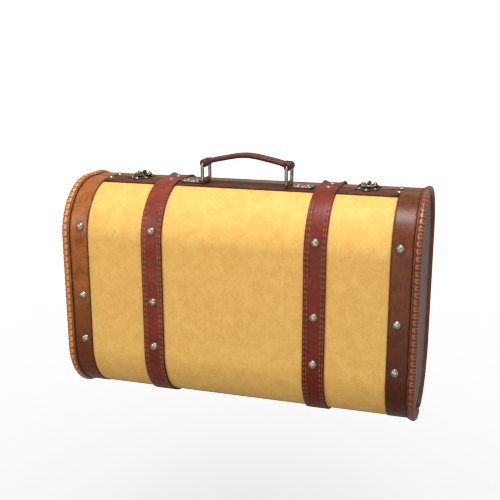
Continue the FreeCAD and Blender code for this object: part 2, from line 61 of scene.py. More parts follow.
def srgb(red: int, green: int, blue: int) -> Colour:
    """Linear colour from display values of 0 to 255."""
    shown = [value / 255 for value in (red, green, blue)]
    return (*(part / 12.92 if part <= 0.04045 else ((part + 0.055) / 1.055) ** 2.4 for part in shown), 1.0)


def smooth(value: float, low: float, high: float) -> float:
    """Rises smoothly from 0 at low to 1 at high."""
    part = min(max((value - low) / (high - low), 0.0), 1.0)
    return part * part * (3 - 2 * part)


def bump(value: float, middle: float, reach: float) -> float:
    """A bell of height 1 round middle that fades out at reach."""
    part = min(abs(value - middle) / reach, 1.0)
    return (1 - part * part) ** 2


def circle(count: int) -> list[float]:
    """Angles of one turn in even steps."""
    return [2 * math.pi * index / count for index in range(count)]


def steps(count: int, low: float = 0.0, high: float = 1.0) -> list[float]:
    """Values from low to high in even steps, with both ends."""
    return [low + (high - low) * index / count for index in range(count + 1)]


def link(name: str, data: Any) -> Piece:
    """A new object in the scene."""
    made = bpy.data.objects.new(name, data)
    bpy.context.scene.collection.objects.link(made)
    return made


class Half(Enum):
    """The two halves of the case, by the side of the seam that they lie on."""

    FRONT = -1
    BACK = 1

    @property
    def label(self) -> str:
        """Word that the half's CAD nodes start with."""
        return self.name.lower()

    @property
    def body(self) -> str:
        """CAD body that the half's pieces ride on."""
        return f"{self.label}_half"


class End(Enum):
    """The two ends of the case along X."""

    LEFT = -1
    RIGHT = 1

    @property
    def label(self) -> str:
        """Word that the end's CAD nodes finish with."""
        return self.name.lower()


# Node trees


def operator(operation: str, swapped: bool = False) -> Callable[["Field", Any], "Field"]:
    """A method that joins a field and another value in one Math node."""
    def apply(self: "Field", other: Any) -> "Field":
        """Adds the node."""
        return self.maths(operation, *((other, self) if swapped else (self, other)))
    return apply


class Field:
    """A number inside a shader graph; arithmetic on it adds Math nodes."""

    __add__ = __radd__ = operator("ADD")
    __sub__, __rsub__ = operator("SUBTRACT"), operator("SUBTRACT", True)
    __mul__ = __rmul__ = operator("MULTIPLY")
    most = operator("MAXIMUM")

    def __init__(self, graph: "Graph", socket: Socket) -> None:
        """Wraps an output socket of a graph."""
        self.graph = graph
        self.socket = socket

    def maths(self, operation: str, *values: Any) -> "Field":
        """Adds one Math node over the values and returns its result."""
        return self.graph.field("ShaderNodeMath", "Value", {"operation": operation}, dict(enumerate(values)))

    def step(self, low: float, high: float) -> "Field":
        """Rises smoothly from 0 at low to 1 at high, or falls where low is the larger."""
        return self.graph.field("ShaderNodeMapRange", "Result", {"interpolation_type": "SMOOTHSTEP"},
                                {"Value": self, "From Min": low, "From Max": high})


def pick(sockets: Any, key: int | str) -> Socket:
    """One of a node's sockets, by identifier, name or index."""
    found = [socket for socket in sockets if socket.identifier == key]
    return found[0] if found else sockets[key]


class Nodes:
    """A node tree under construction."""

    def __init__(self, tree: bpy.types.NodeTree) -> None:
        """Starts from an empty tree."""
        self.tree = tree
        tree.nodes.clear()

    def node(self, kind: str, settings: dict[str, Any] | None = None,
             inputs: dict[Any, Any] | None = None) -> bpy.types.Node:
        """Adds any node.

        Args:
            kind: the node's type.
            settings: properties, set first.
            inputs: socket name, identifier or index to a value, a Field or a socket.

        Returns:
            The node.
        """
        node = self.tree.nodes.new(kind)
        for key, value in (settings or {}).items():
            setattr(node, key, value)
        for key, value in (inputs or {}).items():
            self.plug(node, key, value)
        return node

    def plug(self, node: bpy.types.Node, key: int | str, value: Any) -> None:
        """Sets or links one input socket of a node."""
        socket = pick(node.inputs, key)
        value = value.socket if isinstance(value, Field) else value
        if isinstance(value, Socket):
            self.tree.links.new(value, socket)
        else:
            socket.default_value = value

    def out(self, kind: str, output: str, *more: dict[Any, Any] | None) -> Socket:
        """Adds a node, with settings and inputs as above, and returns one of its outputs."""
        return pick(self.node(kind, *more).outputs, output)


class Graph(Nodes):
    """Node tree of one material, from its surface shader backwards."""

    def __init__(self, name: str) -> None:
        """Starts a material with a Principled shader."""
        self.material = bpy.data.materials.new(name)
        self.material.use_nodes = True
        super().__init__(self.material.node_tree)
        self.shader = self.node("ShaderNodeBsdfPrincipled")
        self.node("ShaderNodeOutputMaterial", None, {"Surface": self.shader.outputs["BSDF"]})

    def field(self, kind: str, output: str, *more: dict[Any, Any] | None) -> Field:
        """Adds a node, with settings and inputs as above, and returns one of its outputs as a Field."""
        return Field(self, self.out(kind, output, *more))

    def place(self, scale: Sequence[float] = (1, 1, 1)) -> Socket:
        """Object coordinates in metres, stretched by scale."""
        where = self.out("ShaderNodeTexCoord", "Object")
        return self.out("ShaderNodeMapping", "Vector", None, {"Vector": where, "Scale": tuple(scale)})

    def axes(self, vector: Socket) -> tuple[Field, Field, Field]:
        """The three numbers of a vector."""
        split = self.node("ShaderNodeSeparateXYZ", None, {"Vector": vector})
        return tuple(Field(self, split.outputs[axis]) for axis in "XYZ")

    def lay(self) -> tuple[Field, Field, Field]:
        """The piece's own attribute: across, along (or height of 0 to 1) and edge distance."""
        return self.axes(self.out("ShaderNodeAttribute", "Vector", {"attribute_name": "lay"}))

    def noise(self, where: Any, size: float, detail: float = 3.0, rough: float = 0.55,
              twist: float = 0.0) -> Field:
        """Fractal noise of 0 to 1 whose features are about size metres."""
        return self.field("ShaderNodeTexNoise", "Fac", None, {
            "Vector": where, "Scale": 1 / size, "Detail": detail, "Roughness": rough, "Distortion": twist})

    def cells(self, where: Any, size: float) -> Field:
        """Distance to the middle of the nearest of many cells of about size metres."""
        return self.field("ShaderNodeTexVoronoi", "Distance", None, {"Vector": where, "Scale": 1 / size})

    def mix(self, part: Any, first: Any, second: Any, blend: str = "MIX") -> Socket:
        """Mixes two colours by a part of 0 to 1."""
        return self.out("ShaderNodeMix", "Result_Color", {"data_type": "RGBA", "blend_type": blend},
                        {"Factor_Float": part, "A_Color": first, "B_Color": second})

    def surface(self, **sockets: Any) -> None:
        """Sets or links sockets of the surface shader, named with underscores."""
        for key, value in sockets.items():
            self.plug(self.shader, key.replace("_", " "), value)

    def relief(self, height: Field, depth: float) -> Socket:
        """Normal bumped by a height field of 0 to 1, depth metres high."""
        return self.out("ShaderNodeBump", "Normal", None,
                        {"Height": height, "Distance": depth, "Strength": 1.0})


# Finishes


@dataclass(frozen=True)
class Finish:
    """A material of the case, and the slot that its pieces take."""

    name: str
    slot: str

    def material(self) -> bpy.types.Material:
        """Builds the material."""
        graph = Graph(self.name)
        self.paint(graph, graph.place())
        return graph.material

    def paint(self, graph: Graph, where: Socket) -> None:
        """Works out the surface from the place on the piece."""
        raise NotImplementedError(self.name)


@dataclass(frozen=True)
class Leather(Finish):
    """Leather or coated cloth: blotches, grain, edges darkened partly by burnish and partly by painted
    shade, and a soft gloss.
    """

    light: Colour
    dark: Colour
    edge: Colour
    blotch: float = 24 * MM
    grain: float = 0.9 * MM
    grain_depth: float = 0.06 * MM
    pore: float = 1.7 * MM
    streak: Sequence[float] = (1, 1, 1)
    contrast: float = 0.8
    edge_reach: float = 1.6 * MM
    edge_part: float = 0.8
    # low is a tint multiplied in towards the lower stations: painted shade on the underside.
    low: Colour = (1.0, 1.0, 1.0, 1.0)
    low_span: Span = (-40 * MM, 90 * MM)
    drift: float = 30 * MM
    wear: float = 5 * MM
    weave: float = 0.0
    weave_span: Span = (10 * MM, 60 * MM)
    thread: float = 1.1 * MM
    speck: float = 0.0
    speck_size: float = 2.2 * MM
    roughness: float = 0.48
    gloss: float = 0.22
    coat: float = 0.0

    def paint(self, graph: Graph, where: Socket) -> None:
        """Blotches and pores, then what is asked for of painted shade low down, weave, specks and darkened
        edges.
        """
        streaks = graph.place(self.streak)
        _, along, edge = graph.lay()
        cloud = graph.noise(where, self.blotch, 4.0, 0.6, 0.6)
        fine = graph.noise(streaks, self.blotch / 6, 5.0, 0.65, 0.3)
        part = cloud * 0.5 + fine * 0.3 + graph.noise(where, self.pore, 3.0, 0.7) * 0.2
        part = part.step(0.5 - self.contrast / 4, 0.5 + self.contrast / 4)
        colour = graph.mix(part, self.dark, self.light)
        # Painted shade: the colour darkens by the low tint towards the lower part of the strip.
        if min(self.low) < 1.0:
            shade = graph.mix(1.0, colour, self.low, "MULTIPLY")
            painted_shade_part = (along + (cloud - 0.5) * self.drift).step(*self.low_span)
            colour = graph.mix(painted_shade_part, colour, shade)
        rough = self.roughness + (fine - 0.5) * 0.2
        height = graph.cells(where, self.grain) * 0.55
        height = height + graph.noise(streaks, self.grain * 3, 4.0, 0.6) * 0.45
        if self.weave > 0:
            threads = graph.noise(graph.place((0.05, 1, 1)), self.thread, 2.0)
            shows = (along + (cloud - 0.5) * (2 * self.drift)).step(*self.weave_span) * self.weave
            colour = graph.mix(threads.step(0.35, 0.65) * shows, colour, self.dark)
            height = height + threads * shows
        if self.speck > 0:
            spots = graph.noise(where, self.speck_size, 2.0).step(0.64, 0.7)
            colour = graph.mix(spots * self.speck, colour, self.edge)
        # Darker edges: partly burnished wear, partly painted shade where the strip meets the parts beside
        # it.
        if self.edge_part > 0:
            edge_noise = graph.noise(where, self.wear, 4.0)
            burnish_and_shade = (edge + (edge_noise - 0.5) * self.edge_reach * 1.6).step(self.edge_reach, 0.0)
            colour = graph.mix(burnish_and_shade * self.edge_part, colour, self.edge)
            rough = rough + burnish_and_shade * 0.1
        graph.surface(Base_Color=colour, Roughness=rough, Normal=graph.relief(height, self.grain_depth),
                      Specular_IOR_Level=self.gloss, Coat_Weight=self.coat, Coat_Roughness=0.28)


@dataclass(frozen=True)
class Lacing(Finish):
    """Tooled cord leather: light raised edges round darker hollows, and painted shade in the gaps between
    scales.
    """

    crest: Colour
    hollow: Colour
    # gap is the colour of the painted shade between the scales.
    gap: Colour
    roughness: float = 0.36
    patches: float = 14 * MM
    pore: float = 1.4 * MM
    depth: float = 0.1 * MM

    def paint(self, graph: Graph, where: Socket) -> None:
        """Colours by the height in the lay."""
        _, height, _ = graph.lay()
        cloud = graph.noise(where, self.patches, 4.0)
        fine = graph.noise(where, self.pore, 4.0)
        colour = graph.mix((height + (fine - 0.5) * 0.3).step(0.3, 0.85), self.hollow, self.crest)
        # Painted shade: the lowest parts, between the scales, go to the dark gap colour.
        colour = graph.mix((height + (cloud - 0.5) * 0.1).step(0.2, 0.02), colour, self.gap)
        colour = graph.mix((cloud - 0.45).most(0.0) * 1.2, colour, self.hollow)
        graph.surface(Base_Color=colour, Roughness=self.roughness + (fine - 0.5) * 0.25,
                      Normal=graph.relief(fine, self.depth), Coat_Weight=0.35, Coat_Roughness=0.2)


@dataclass(frozen=True)
class Metal(Finish):
    """Aged metal: tarnished in patches, and darkened round its foot by painted shade."""

    bright: Colour
    tarnish: Colour
    patches: float = 2.5 * MM
    roughness: float = 0.34
    age: float = 0.5
    base_ring: float = 0.0
    depth: float = 0.05 * MM

    def paint(self, graph: Graph, where: Socket) -> None:
        """Patches of tarnish, and painted shade in the tarnish colour round the foot, up to a given height.
        """
        cloud = graph.noise(where, self.patches, 5.0, 0.62)
        fine = graph.noise(where, self.patches / 6, 3.0)
        part = (cloud * 0.7 + fine * 0.3).step(0.75 - self.age * 0.5, 0.35 - self.age * 0.1)
        # Painted shade: darkens each head near its foot, where it meets the surface below.
        if self.base_ring > 0:
            part = part.most((graph.lay()[1] + (fine - 0.5) * 0.15).step(self.base_ring, 0.0))
        graph.surface(Base_Color=graph.mix(part, self.bright, self.tarnish), Metallic=1.0 - part * 0.35,
                      Roughness=self.roughness + part * 0.22,
                      Normal=graph.relief(cloud * 0.6 + fine * 0.4, self.depth))


@dataclass(frozen=True)
class Wood(Finish):
    """Plain ply, with grain along X."""

    light: Colour
    dark: Colour
    figure: float = 6 * MM
    fibre: float = 0.8 * MM
    depth: float = 0.05 * MM

    def paint(self, graph: Graph, where: Socket) -> None:
        """Long figure and fine fibre."""
        where = graph.place((0.06, 1, 1))
        fibre = graph.noise(where, self.fibre, 3.0)
        part = (graph.noise(where, self.figure, 5.0, 0.6, 0.8) * 0.7 + fibre * 0.3).step(0.3, 0.7)
        graph.surface(Base_Color=graph.mix(part, self.dark, self.light), Roughness=0.62 + fibre * 0.15,
                      Normal=graph.relief(fibre, self.depth))


@dataclass(frozen=True)
class Weave(Finish):
    """Plain woven cloth, with threads over and under each other."""

    light: Colour
    dark: Colour
    pitch: float = 0.9 * MM
    patches: float = 18 * MM
    depth: float = 0.12 * MM

    def paint(self, graph: Graph, where: Socket) -> None:
        """Waves of warp and weft, over soft clouds."""
        turn = 2 * math.pi / self.pitch
        across, depth, up = graph.axes(where)
        warp, weft = (way.maths("SINE", way * turn) for way in (across, up + depth))
        height = (warp * weft) * 0.5 + 0.5
        part = (height * 0.5 + graph.noise(where, self.patches, 4.0) * 0.5).step(0.2, 0.8)
        graph.surface(Base_Color=graph.mix(part, self.dark, self.light), Roughness=0.86,
                      Normal=graph.relief(height, self.depth), Sheen_Weight=0.2)


@dataclass(frozen=True)
class Thread(Finish):
    """Waxed sewing thread."""

    colour: Colour
    shade: Colour
    twist: float = 0.5 * MM
    wear: float = 9 * MM
    depth: float = 0.06 * MM

    def paint(self, graph: Graph, where: Socket) -> None:
        """Fine twist and slow wear."""
        twist = graph.noise(where, self.twist, 2.0)
        part = (twist * 0.5 + graph.noise(where, self.wear, 3.0) * 0.5).step(0.3, 0.7)
        graph.surface(Base_Color=graph.mix(part, self.shade, self.colour), Roughness=0.66,
                      Normal=graph.relief(twist, self.depth))


def all_finishes() -> list[Finish]:
    """Every finish of the case; a pair of ends or halves differs only in its colours: the left end's copies
    are painted lighter and the right end's darker, and the back half's rims lighter, as painted light and
    shade.
    """
    # Band: the low tint is painted shade on its lower part; its dark edges are partly burnish, partly
    # painted shade of the grooves beside it.
    band = Leather("band_leather_left", "band", srgb(176, 106, 46), srgb(116, 60, 24), srgb(62, 28, 10),
                   blotch=16 * MM, grain_depth=0.12 * MM, streak=(1, 0.2, 0.2), contrast=0.9,
                   edge_reach=2.8 * MM, edge_part=0.9, low=(0.34, 0.24, 0.2, 1.0), weave=0.5, speck=0.4,
                   roughness=0.36, gloss=0.28)
    # Rim: its darkened edges paint the shadow line where the rim stands over the cover.
    rim = Leather("rim_leather_front", "rim", srgb(106, 62, 38), srgb(56, 28, 16), srgb(26, 12, 8),
                  blotch=22 * MM, grain_depth=0.04 * MM, streak=(0.1, 1, 1), contrast=1.0,
                  edge_reach=2.4 * MM, edge_part=0.95, roughness=0.46, gloss=0.12)
    # Strap: the low tint is painted shade on its lower part.
    strap = Leather("strap_leather_left", "strap", srgb(142, 62, 42), srgb(98, 36, 22), srgb(48, 16, 10),
                    blotch=18 * MM, grain_depth=0.08 * MM, contrast=1.0, edge_reach=1.2 * MM,
                    edge_part=0.85, low=(0.78, 0.6, 0.5, 1.0), speck=0.25, roughness=0.42, gloss=0.26)
    core = Leather("core_leather_left", "trim", srgb(212, 128, 54), srgb(158, 82, 30), srgb(40, 16, 8),
                   blotch=12 * MM, grain_depth=0.05 * MM, edge_part=0.0, speck=0.5, roughness=0.38,
                   gloss=0.4)
    lacing = Lacing("trim_lacing_left", "trim", srgb(232, 150, 66), srgb(156, 80, 26), srgb(96, 44, 14))
    bronze = Metal("bronze", "bronze", srgb(84, 74, 60), srgb(22, 17, 13), patches=1.4 * MM, age=0.75)
    return [
        # Painted shade: the right band is a darker copy of the left one.
        band, replace(band, name="band_leather_right", light=srgb(124, 62, 20), dark=srgb(74, 34, 10),
                      low=(0.55, 0.42, 0.3, 1.0)),
        # Painted light: the back half's rims are a lighter copy of the front half's.
        rim, replace(rim, name="rim_leather_back", light=srgb(138, 94, 66), dark=srgb(96, 60, 40)),
        # Painted shade: the right strap is a darker copy of the left one.
        strap, replace(strap, name="strap_leather_right", light=srgb(130, 46, 22), dark=srgb(86, 24, 10)),
        # Painted shade: the right core is a darker copy of the left one.
        core, replace(core, name="core_leather_right", light=srgb(142, 66, 30), dark=srgb(88, 38, 16)),
        # Painted light and shade: the left piping is a lighter copy, the right piping a darker one.
        replace(core, name="piping_leather_left", light=srgb(158, 88, 40), dark=srgb(92, 44, 18)),
        replace(core, name="piping_leather_right", light=srgb(122, 60, 36), dark=srgb(70, 30, 16)),
        # Painted shade: the right lacing is a darker copy of the left one.
        lacing, replace(lacing, name="trim_lacing_right", crest=srgb(160, 86, 40), hollow=srgb(96, 46, 18),
                        gap=srgb(34, 12, 4), roughness=0.34),
        bronze, replace(bronze, name="bronze_relief", bright=srgb(136, 124, 102), tarnish=srgb(34, 27, 20),
                        patches=1.2 * MM, roughness=0.24),
        # Cover: its darkened edges are painted shade next to the bands and rims.
        Leather("cover_leather", "cover", srgb(236, 192, 108), srgb(215, 160, 76), srgb(160, 108, 50),
                blotch=13 * MM, grain=1.1 * MM, grain_depth=0.03 * MM, streak=(0.6, 1, 0.6), contrast=1.1,
                edge_reach=1.8 * MM, edge_part=0.6, roughness=0.55),
        Leather("tab_leather", "strap", srgb(124, 54, 38), srgb(84, 30, 20), srgb(56, 18, 12),
                blotch=10 * MM, edge_part=0.0, roughness=0.42, coat=0.15),
        Leather("panel_leather", "panel", srgb(118, 84, 70), srgb(88, 60, 50), srgb(40, 18, 12),
                blotch=26 * MM, edge_part=0.0, roughness=0.42, coat=0.15),
        Leather("grip_leather", "grip", srgb(112, 50, 40), srgb(70, 28, 22), srgb(44, 18, 14),
                blotch=16 * MM, grain=0.8 * MM, grain_depth=0.07 * MM, edge_reach=1.2 * MM, edge_part=0.6,
                roughness=0.44, coat=0.12),
        Leather("grip_end_leather", "grip", srgb(96, 44, 34), srgb(44, 18, 14), srgb(24, 10, 8),
                blotch=7 * MM, edge_part=0.0, roughness=0.46),
        # rivet_metal: its foot ring is painted shade round each head.
        Metal("rivet_metal", "rivet", srgb(196, 184, 166), srgb(64, 48, 36), roughness=0.24, age=0.3,
              base_ring=0.34),
        Metal("plate_metal", "rivet", srgb(176, 172, 162), srgb(92, 82, 70), roughness=0.3, age=0.35),
        Metal("hinge_brass", "hinge", srgb(150, 128, 88), srgb(70, 54, 34)),
        Metal("ring_metal", "ring", srgb(162, 156, 142), srgb(66, 58, 46), patches=5 * MM, roughness=0.26,
              age=0.4),
        Wood("carcass_ply", "carcass", srgb(206, 168, 118), srgb(160, 120, 76)),
        Weave("lining_cloth", "lining", srgb(186, 158, 116), srgb(140, 112, 76)),
        Thread("strap_thread", "strap", srgb(186, 130, 106), srgb(112, 60, 44)),
    ]


class Palette:
    """The finishes by name, built once and shared."""

    def __init__(self) -> None:
        """Builds the materials."""
        self.finishes = {finish.name: finish for finish in all_finishes()}
        self.materials = {name: finish.material() for name, finish in self.finishes.items()}

    def settle(self, piece: Piece, finish: str, body: str, *nodes: str) -> None:
        """Finishes a new piece, rides it on its body and hides the CAD nodes that it stands for."""
        piece.data.materials.clear()
        piece.data.materials.append(self.materials[finish])
        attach(piece, body)
        if nodes:
            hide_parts(*nodes)
        log.info("%s on %s, %d faces", piece.name, body, len(piece.data.polygons))

    def repaint(self, node: str, finish: str) -> None:
        """Puts a finish on a CAD node that shows."""
        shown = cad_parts[node]
        if not shown.material_slots:
            shown.data.materials.append(None)
        for holder in shown.material_slots:
            holder.material = self.materials[finish]


# Meshes


@dataclass
class Cut:
    """One point of a cross-section: its place, and its lay of across, along and edge distance."""

    point: Vector
    lay: tuple[float, float, float] = (0.0, 0.0, 0.0)


class Maker:
    """Gathers the cross-sections of one piece and turns them into an object."""

    def __init__(self, name: str) -> None:
        """Starts an empty piece."""
        self.name = name
        self.cuts: list[Cut] = []
        self.faces: list[list[int]] = []

    def loft(self, rings: Sequence[Sequence[Cut]], closed: bool = False, sheet: bool = False) -> None:
        """Joins cross-sections of equal length with quads.

        Args:
            rings: the cross-sections in order.
            closed: whether the last one joins the first.
            sheet: whether each one is an open line instead of a loop.
        """
        numbers = []
        for ring in rings:
            first = len(self.cuts)
            self.cuts += ring
            numbers.append(list(range(first, len(self.cuts))))
        pairs = list(zip(numbers, numbers[1:])) + ([(numbers[-1], numbers[0])] if closed else [])
        for near, far in pairs:
            for index in range(len(near) - sheet):
                after = (index + 1) % len(near)
                self.faces.append([near[index], near[after], far[after], far[index]])
        if not sheet and not closed:
            self.faces += [numbers[0][::-1], numbers[-1]]

    def lathe(self, foot: Vector, profile: Sequence[Span], sides: int) -> None:
        """Adds a shape turned round Z from (radius, height) points, with its height in its lay."""
        high = max(height for _, height in profile)
        self.loft([[Cut(foot + Vector((radius * math.cos(angle), radius * math.sin(angle), height)),
                        (0.0, height / high, 0.0)) for angle in circle(sides)]
                   for radius, height in profile])

    def build(self, sharp: float = 32.0, outward: bool = True) -> Piece:
        """Makes the object, with smooth faces except past the sharp angle in degrees."""
        mesh = bpy.data.meshes.new(self.name)
        mesh.from_pydata([tuple(cut.point) for cut in self.cuts], [], self.faces)
        lay = mesh.attributes.new("lay", "FLOAT_VECTOR", "POINT")
        lay.data.foreach_set("vector", [value for cut in self.cuts for value in cut.lay])
        if outward:
            net = bmesh.new()
            net.from_mesh(mesh)
            bmesh.ops.recalc_face_normals(net, faces=net.faces)
            net.to_mesh(mesh)
            net.free()
        mesh.shade_smooth()
        mesh.set_sharp_from_angle(angle=math.radians(sharp))
        mesh.validate()
        return link(self.name, mesh)


def domes(name: str, heads: Sequence[tuple[Vector, float, float]]) -> Piece:
    """Small domed heads as one piece, from (spot, radius, height)."""
    maker = Maker(name)
    for spot, radius, height in heads:
        maker.lathe(spot, [(radius * max(math.cos(angle), 0.03), height * math.sin(angle))
                           for angle in steps(6, 0.0, math.pi / 2)], 18)
    return maker.build(40.0)


@dataclass(frozen=True)
class Shell:
    """Outside of one half's bent wood, measured round from the seam on top to the seam below."""

    half: Half
    depth: float
    bottom: float
    top: float
    radius: float = 65 * MM

    @classmethod
    def measured(cls, half: Half) -> "Shell":
        """Reads the wood's sizes from its CAD node."""
        low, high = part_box(f"{half.label}_wrap")
        return cls(half, max(-low.y, high.y), low.z, high.z)

    @property
    def flat(self) -> float:
        """Level part next to the seam."""
        return self.depth - self.radius

    @property
    def arc(self) -> float:
        """Length of one bent corner."""
        return self.radius * math.pi / 2

    @property
    def face(self) -> float:
        """Upright part between the corners."""
        return self.top - self.bottom - 2 * self.radius

    @property
    def girth(self) -> float:
        """Whole way round."""
        return 2 * (self.flat + self.arc) + self.face

    def turn(self, station: float) -> float:
        """Angle from straight up to the outward normal."""
        first = min(max(station - self.flat, 0.0), self.arc)
        second = min(max(station - self.flat - self.arc - self.face, 0.0), self.arc)
        return (first + second) / self.radius

    def normal(self, station: float) -> Vector:
        """Outward normal at a station."""
        angle = self.turn(station)
        return Vector((0, self.half.value * math.sin(angle), math.cos(angle)))

    def spot(self, x: float, station: float, offset: float) -> Vector:
        """Point at a station along the wood, lifted square off it by offset."""
        level = min(station, self.flat) - max(station - (self.girth - self.flat), 0.0)
        along = min(max(station - self.flat - self.arc, 0.0), self.face)
        angle = self.turn(station)
        y = level + self.radius * math.sin(angle)
        z = self.top - along - self.radius * (1 - math.cos(angle))
        return Vector((x, self.half.value * y, z)) + self.normal(station) * offset

    def stations(self, start: float, end: float, step: float = 3 * MM) -> list[float]:
        """Stations from start to end, close together, with the ends of the corners among them."""
        joints = (self.flat, self.flat + self.arc)
        joints += tuple(self.girth - joint for joint in joints)
        stops = sorted([start, end] + [joint for joint in joints if start < joint < end])
        found = [start]
        for near, far in zip(stops, stops[1:]):
            found += steps(max(1, round((far - near) / step)), near, far)[1:]
        return found


@dataclass(frozen=True)
class Strip:
    """A skin bent round a half: its edges, inner and outer side, rounded corners and curl."""

    name: str
    span: Span
    reach: Span
    under: Callable[[float], float]
    over: Callable[[float, float], float]
    corner: float
    columns: Sequence[float]
    step: float
    lift: Callable[[float, float], float] = lambda across, station: 0.0

    def section(self, shell: Shell, station: float) -> list[Cut]:
        """Closed cross-section at a station."""
        left, right = self.span
        width = right - left
        low = self.under(station)
        end_gap = max(min(station - self.reach[0], self.reach[1] - station), 0.0)

        def cut(across: float, offset: float, edge: float = 0.0) -> Cut:
            """A point of the section, lifted where the strip curls."""
            lay = (left + across, station - shell.girth / 2, min(edge, end_gap))
            return Cut(shell.spot(left + across, station, offset + self.lift(across, station)), lay)

        top = []
        for part in self.columns:
            across = self.corner + (width - 2 * self.corner) * part
            top.append(cut(across, self.over(across, station), min(across, width - across)))
        shoulder = self.corner * (1 - math.sin(math.radians(45)))
        near, far = self.over(0.0, station), self.over(width, station)
        return [cut(0.0, low), cut(0.0, near - self.corner), cut(shoulder, near - shoulder), *top,
                cut(width - shoulder, far - shoulder), cut(width, far - self.corner), cut(width, low),
                cut(width / 2, low)]

    def build(self, shell: Shell) -> Piece:
        """Makes the strip's object."""
        maker = Maker(self.name)
        maker.loft([self.section(shell, station) for station in shell.stations(*self.reach, self.step)])
        return maker.build()


# Repeats made with Geometry Nodes


@dataclass
class Guide:
    """Bare points or paths for copies of a template, with a facing and a size at each point."""

    points: list[Vector] = field(default_factory=list)
    facing: list[Vector] = field(default_factory=list)
    sizes: list[Vector] = field(default_factory=list)
    edges: list[tuple[int, int]] = field(default_factory=list)

    def add(self, shell: Shell, x: float, station: float, offset: float,
            size: Sequence[float] = (1, 1, 1)) -> None:
        """Adds a point on a shell."""
        self.points.append(shell.spot(x, station, offset))
        self.facing.append(shell.normal(station))
        self.sizes.append(Vector(size))

    def path(self, shell: Shell, x: float, span: Span, offset: float) -> None:
        """Adds a path along a shell."""
        first = len(self.points)
        for station in shell.stations(*span, 2 * MM):
            self.add(shell, x, station, offset)
        self.edges += [(index, index + 1) for index in range(first, len(self.points) - 1)]

    def build(self, name: str) -> Piece:
        """The points as a mesh that carries facing and size."""
        mesh = bpy.data.meshes.new(name)
        mesh.from_pydata([tuple(point) for point in self.points], self.edges, [])
        for label, vectors in (("facing", self.facing), ("size", self.sizes)):
            stored = mesh.attributes.new(label, "FLOAT_VECTOR", "POINT")
            stored.data.foreach_set("vector", [value for vector in vectors for value in vector])
        return link(name, mesh)


class Copies(Nodes):
    """A tree that sets copies of a template along paths or at spots."""

    def __init__(self, name: str, along_paths: bool) -> None:
        """Builds the tree.

        Args:
            name: the tree's name.
            along_paths: whether copies stand at even steps along paths, or at each point, which
                then gives their size.
        """
        super().__init__(bpy.data.node_groups.new(name, "GeometryNodeTree"))
        sockets = self.tree.interface.new_socket
        kinds = {"Geometry": "Geometry", "Template": "Object", "Material": "Material", "Pitch": "Float",
                 "Wobble": "Float", "Seed": "Int"}
        self.keys = {label: sockets(label, in_out="INPUT", socket_type=f"NodeSocket{kind}").identifier
                     for label, kind in kinds.items()}
        sockets("Geometry", in_out="OUTPUT", socket_type="NodeSocketGeometry")
        given = self.node("NodeGroupInput").outputs
        points, along = given["Geometry"], (1.0, 0.0, 0.0)
        if along_paths:
            curve = self.out("GeometryNodeMeshToCurve", "Curve", None, {"Mesh": points})
            points = self.out("GeometryNodeResampleCurve", "Curve", {"mode": "LENGTH"},
                              {"Curve": curve, "Length": given["Pitch"]})
            along = self.out("GeometryNodeInputTangent", "Tangent")
        inputs = {"Points": points, "Rotation": self._turned(given, along),
                  "Instance": self.out("GeometryNodeObjectInfo", "Geometry", None,
                                       {"Object": given["Template"]})}
        if not along_paths:
            inputs["Scale"] = self._named("size")
        copies = self.out("GeometryNodeInstanceOnPoints", "Instances", None, inputs)
        whole = self.out("GeometryNodeRealizeInstances", "Geometry", None, {"Geometry": copies})
        painted = self.out("GeometryNodeSetMaterial", "Geometry", None,
                           {"Geometry": whole, "Material": given["Material"]})
        self.node("NodeGroupOutput", None, {"Geometry": painted})

    def _named(self, attribute: str) -> Socket:
        """Reads a named vector of the points."""
        return self.out("GeometryNodeInputNamedAttribute", "Attribute", {"data_type": "FLOAT_VECTOR"},
                        {"Name": attribute})

    def _turned(self, given: Any, along: Any) -> Socket:
        """Rotation to the facing and along the path, with a small seeded turn for each copy."""
        down = self.out("ShaderNodeMath", "Value", {"operation": "MULTIPLY"}, {0: given["Wobble"], 1: -1.0})
        spread = self.out("FunctionNodeRandomValue", "Value_001", {"data_type": "FLOAT"},
                          {"Min_001": down, "Max_001": given["Wobble"], "Seed": given["Seed"]})
        turn = self.out("FunctionNodeAxesToRotation", "Rotation",
                        {"primary_axis": "Z", "secondary_axis": "X"},
                        {"Primary Axis": self._named("facing"), "Secondary Axis": along})
        return self.out("FunctionNodeRotateRotation", "Rotation", {"rotation_space": "LOCAL"}, {
            "Rotation": turn, "Rotate By": self.out("ShaderNodeCombineXYZ", "Vector", None, {"Z": spread})})

    def run(self, name: str, guide: Guide, template: Piece, material: bpy.types.Material,
            pitch: float = 7 * MM, wobble: float = 0.0) -> Piece:
        """Evaluates the tree on a guide.

        Args:
            name: name of the finished piece.
            guide: its paths or spots.
            template: the object to copy.
            material: the copies' material.
            pitch: step along paths, in metres.
            wobble: largest turn off the path, in radians.

        Returns:
            The finished piece, as a plain mesh.
        """
        holder = guide.build(f"{name}_guide")
        modifier = holder.modifiers.new("copies", "NODES")
        modifier.node_group = self.tree
        values = {"Template": template, "Material": material, "Pitch": pitch, "Wobble": wobble, "Seed": SEED}
        for label, value in values.items():
            modifier[self.keys[label]] = value
        bpy.context.view_layer.update()
        graph = bpy.context.evaluated_depsgraph_get()
        mesh = bpy.data.meshes.new_from_object(holder.evaluated_get(graph))
        mesh.name = name
        piece = link(name, mesh)
        holder.modifiers.remove(modifier)
        bpy.data.objects.remove(holder)
        return piece


# Sub-assemblies


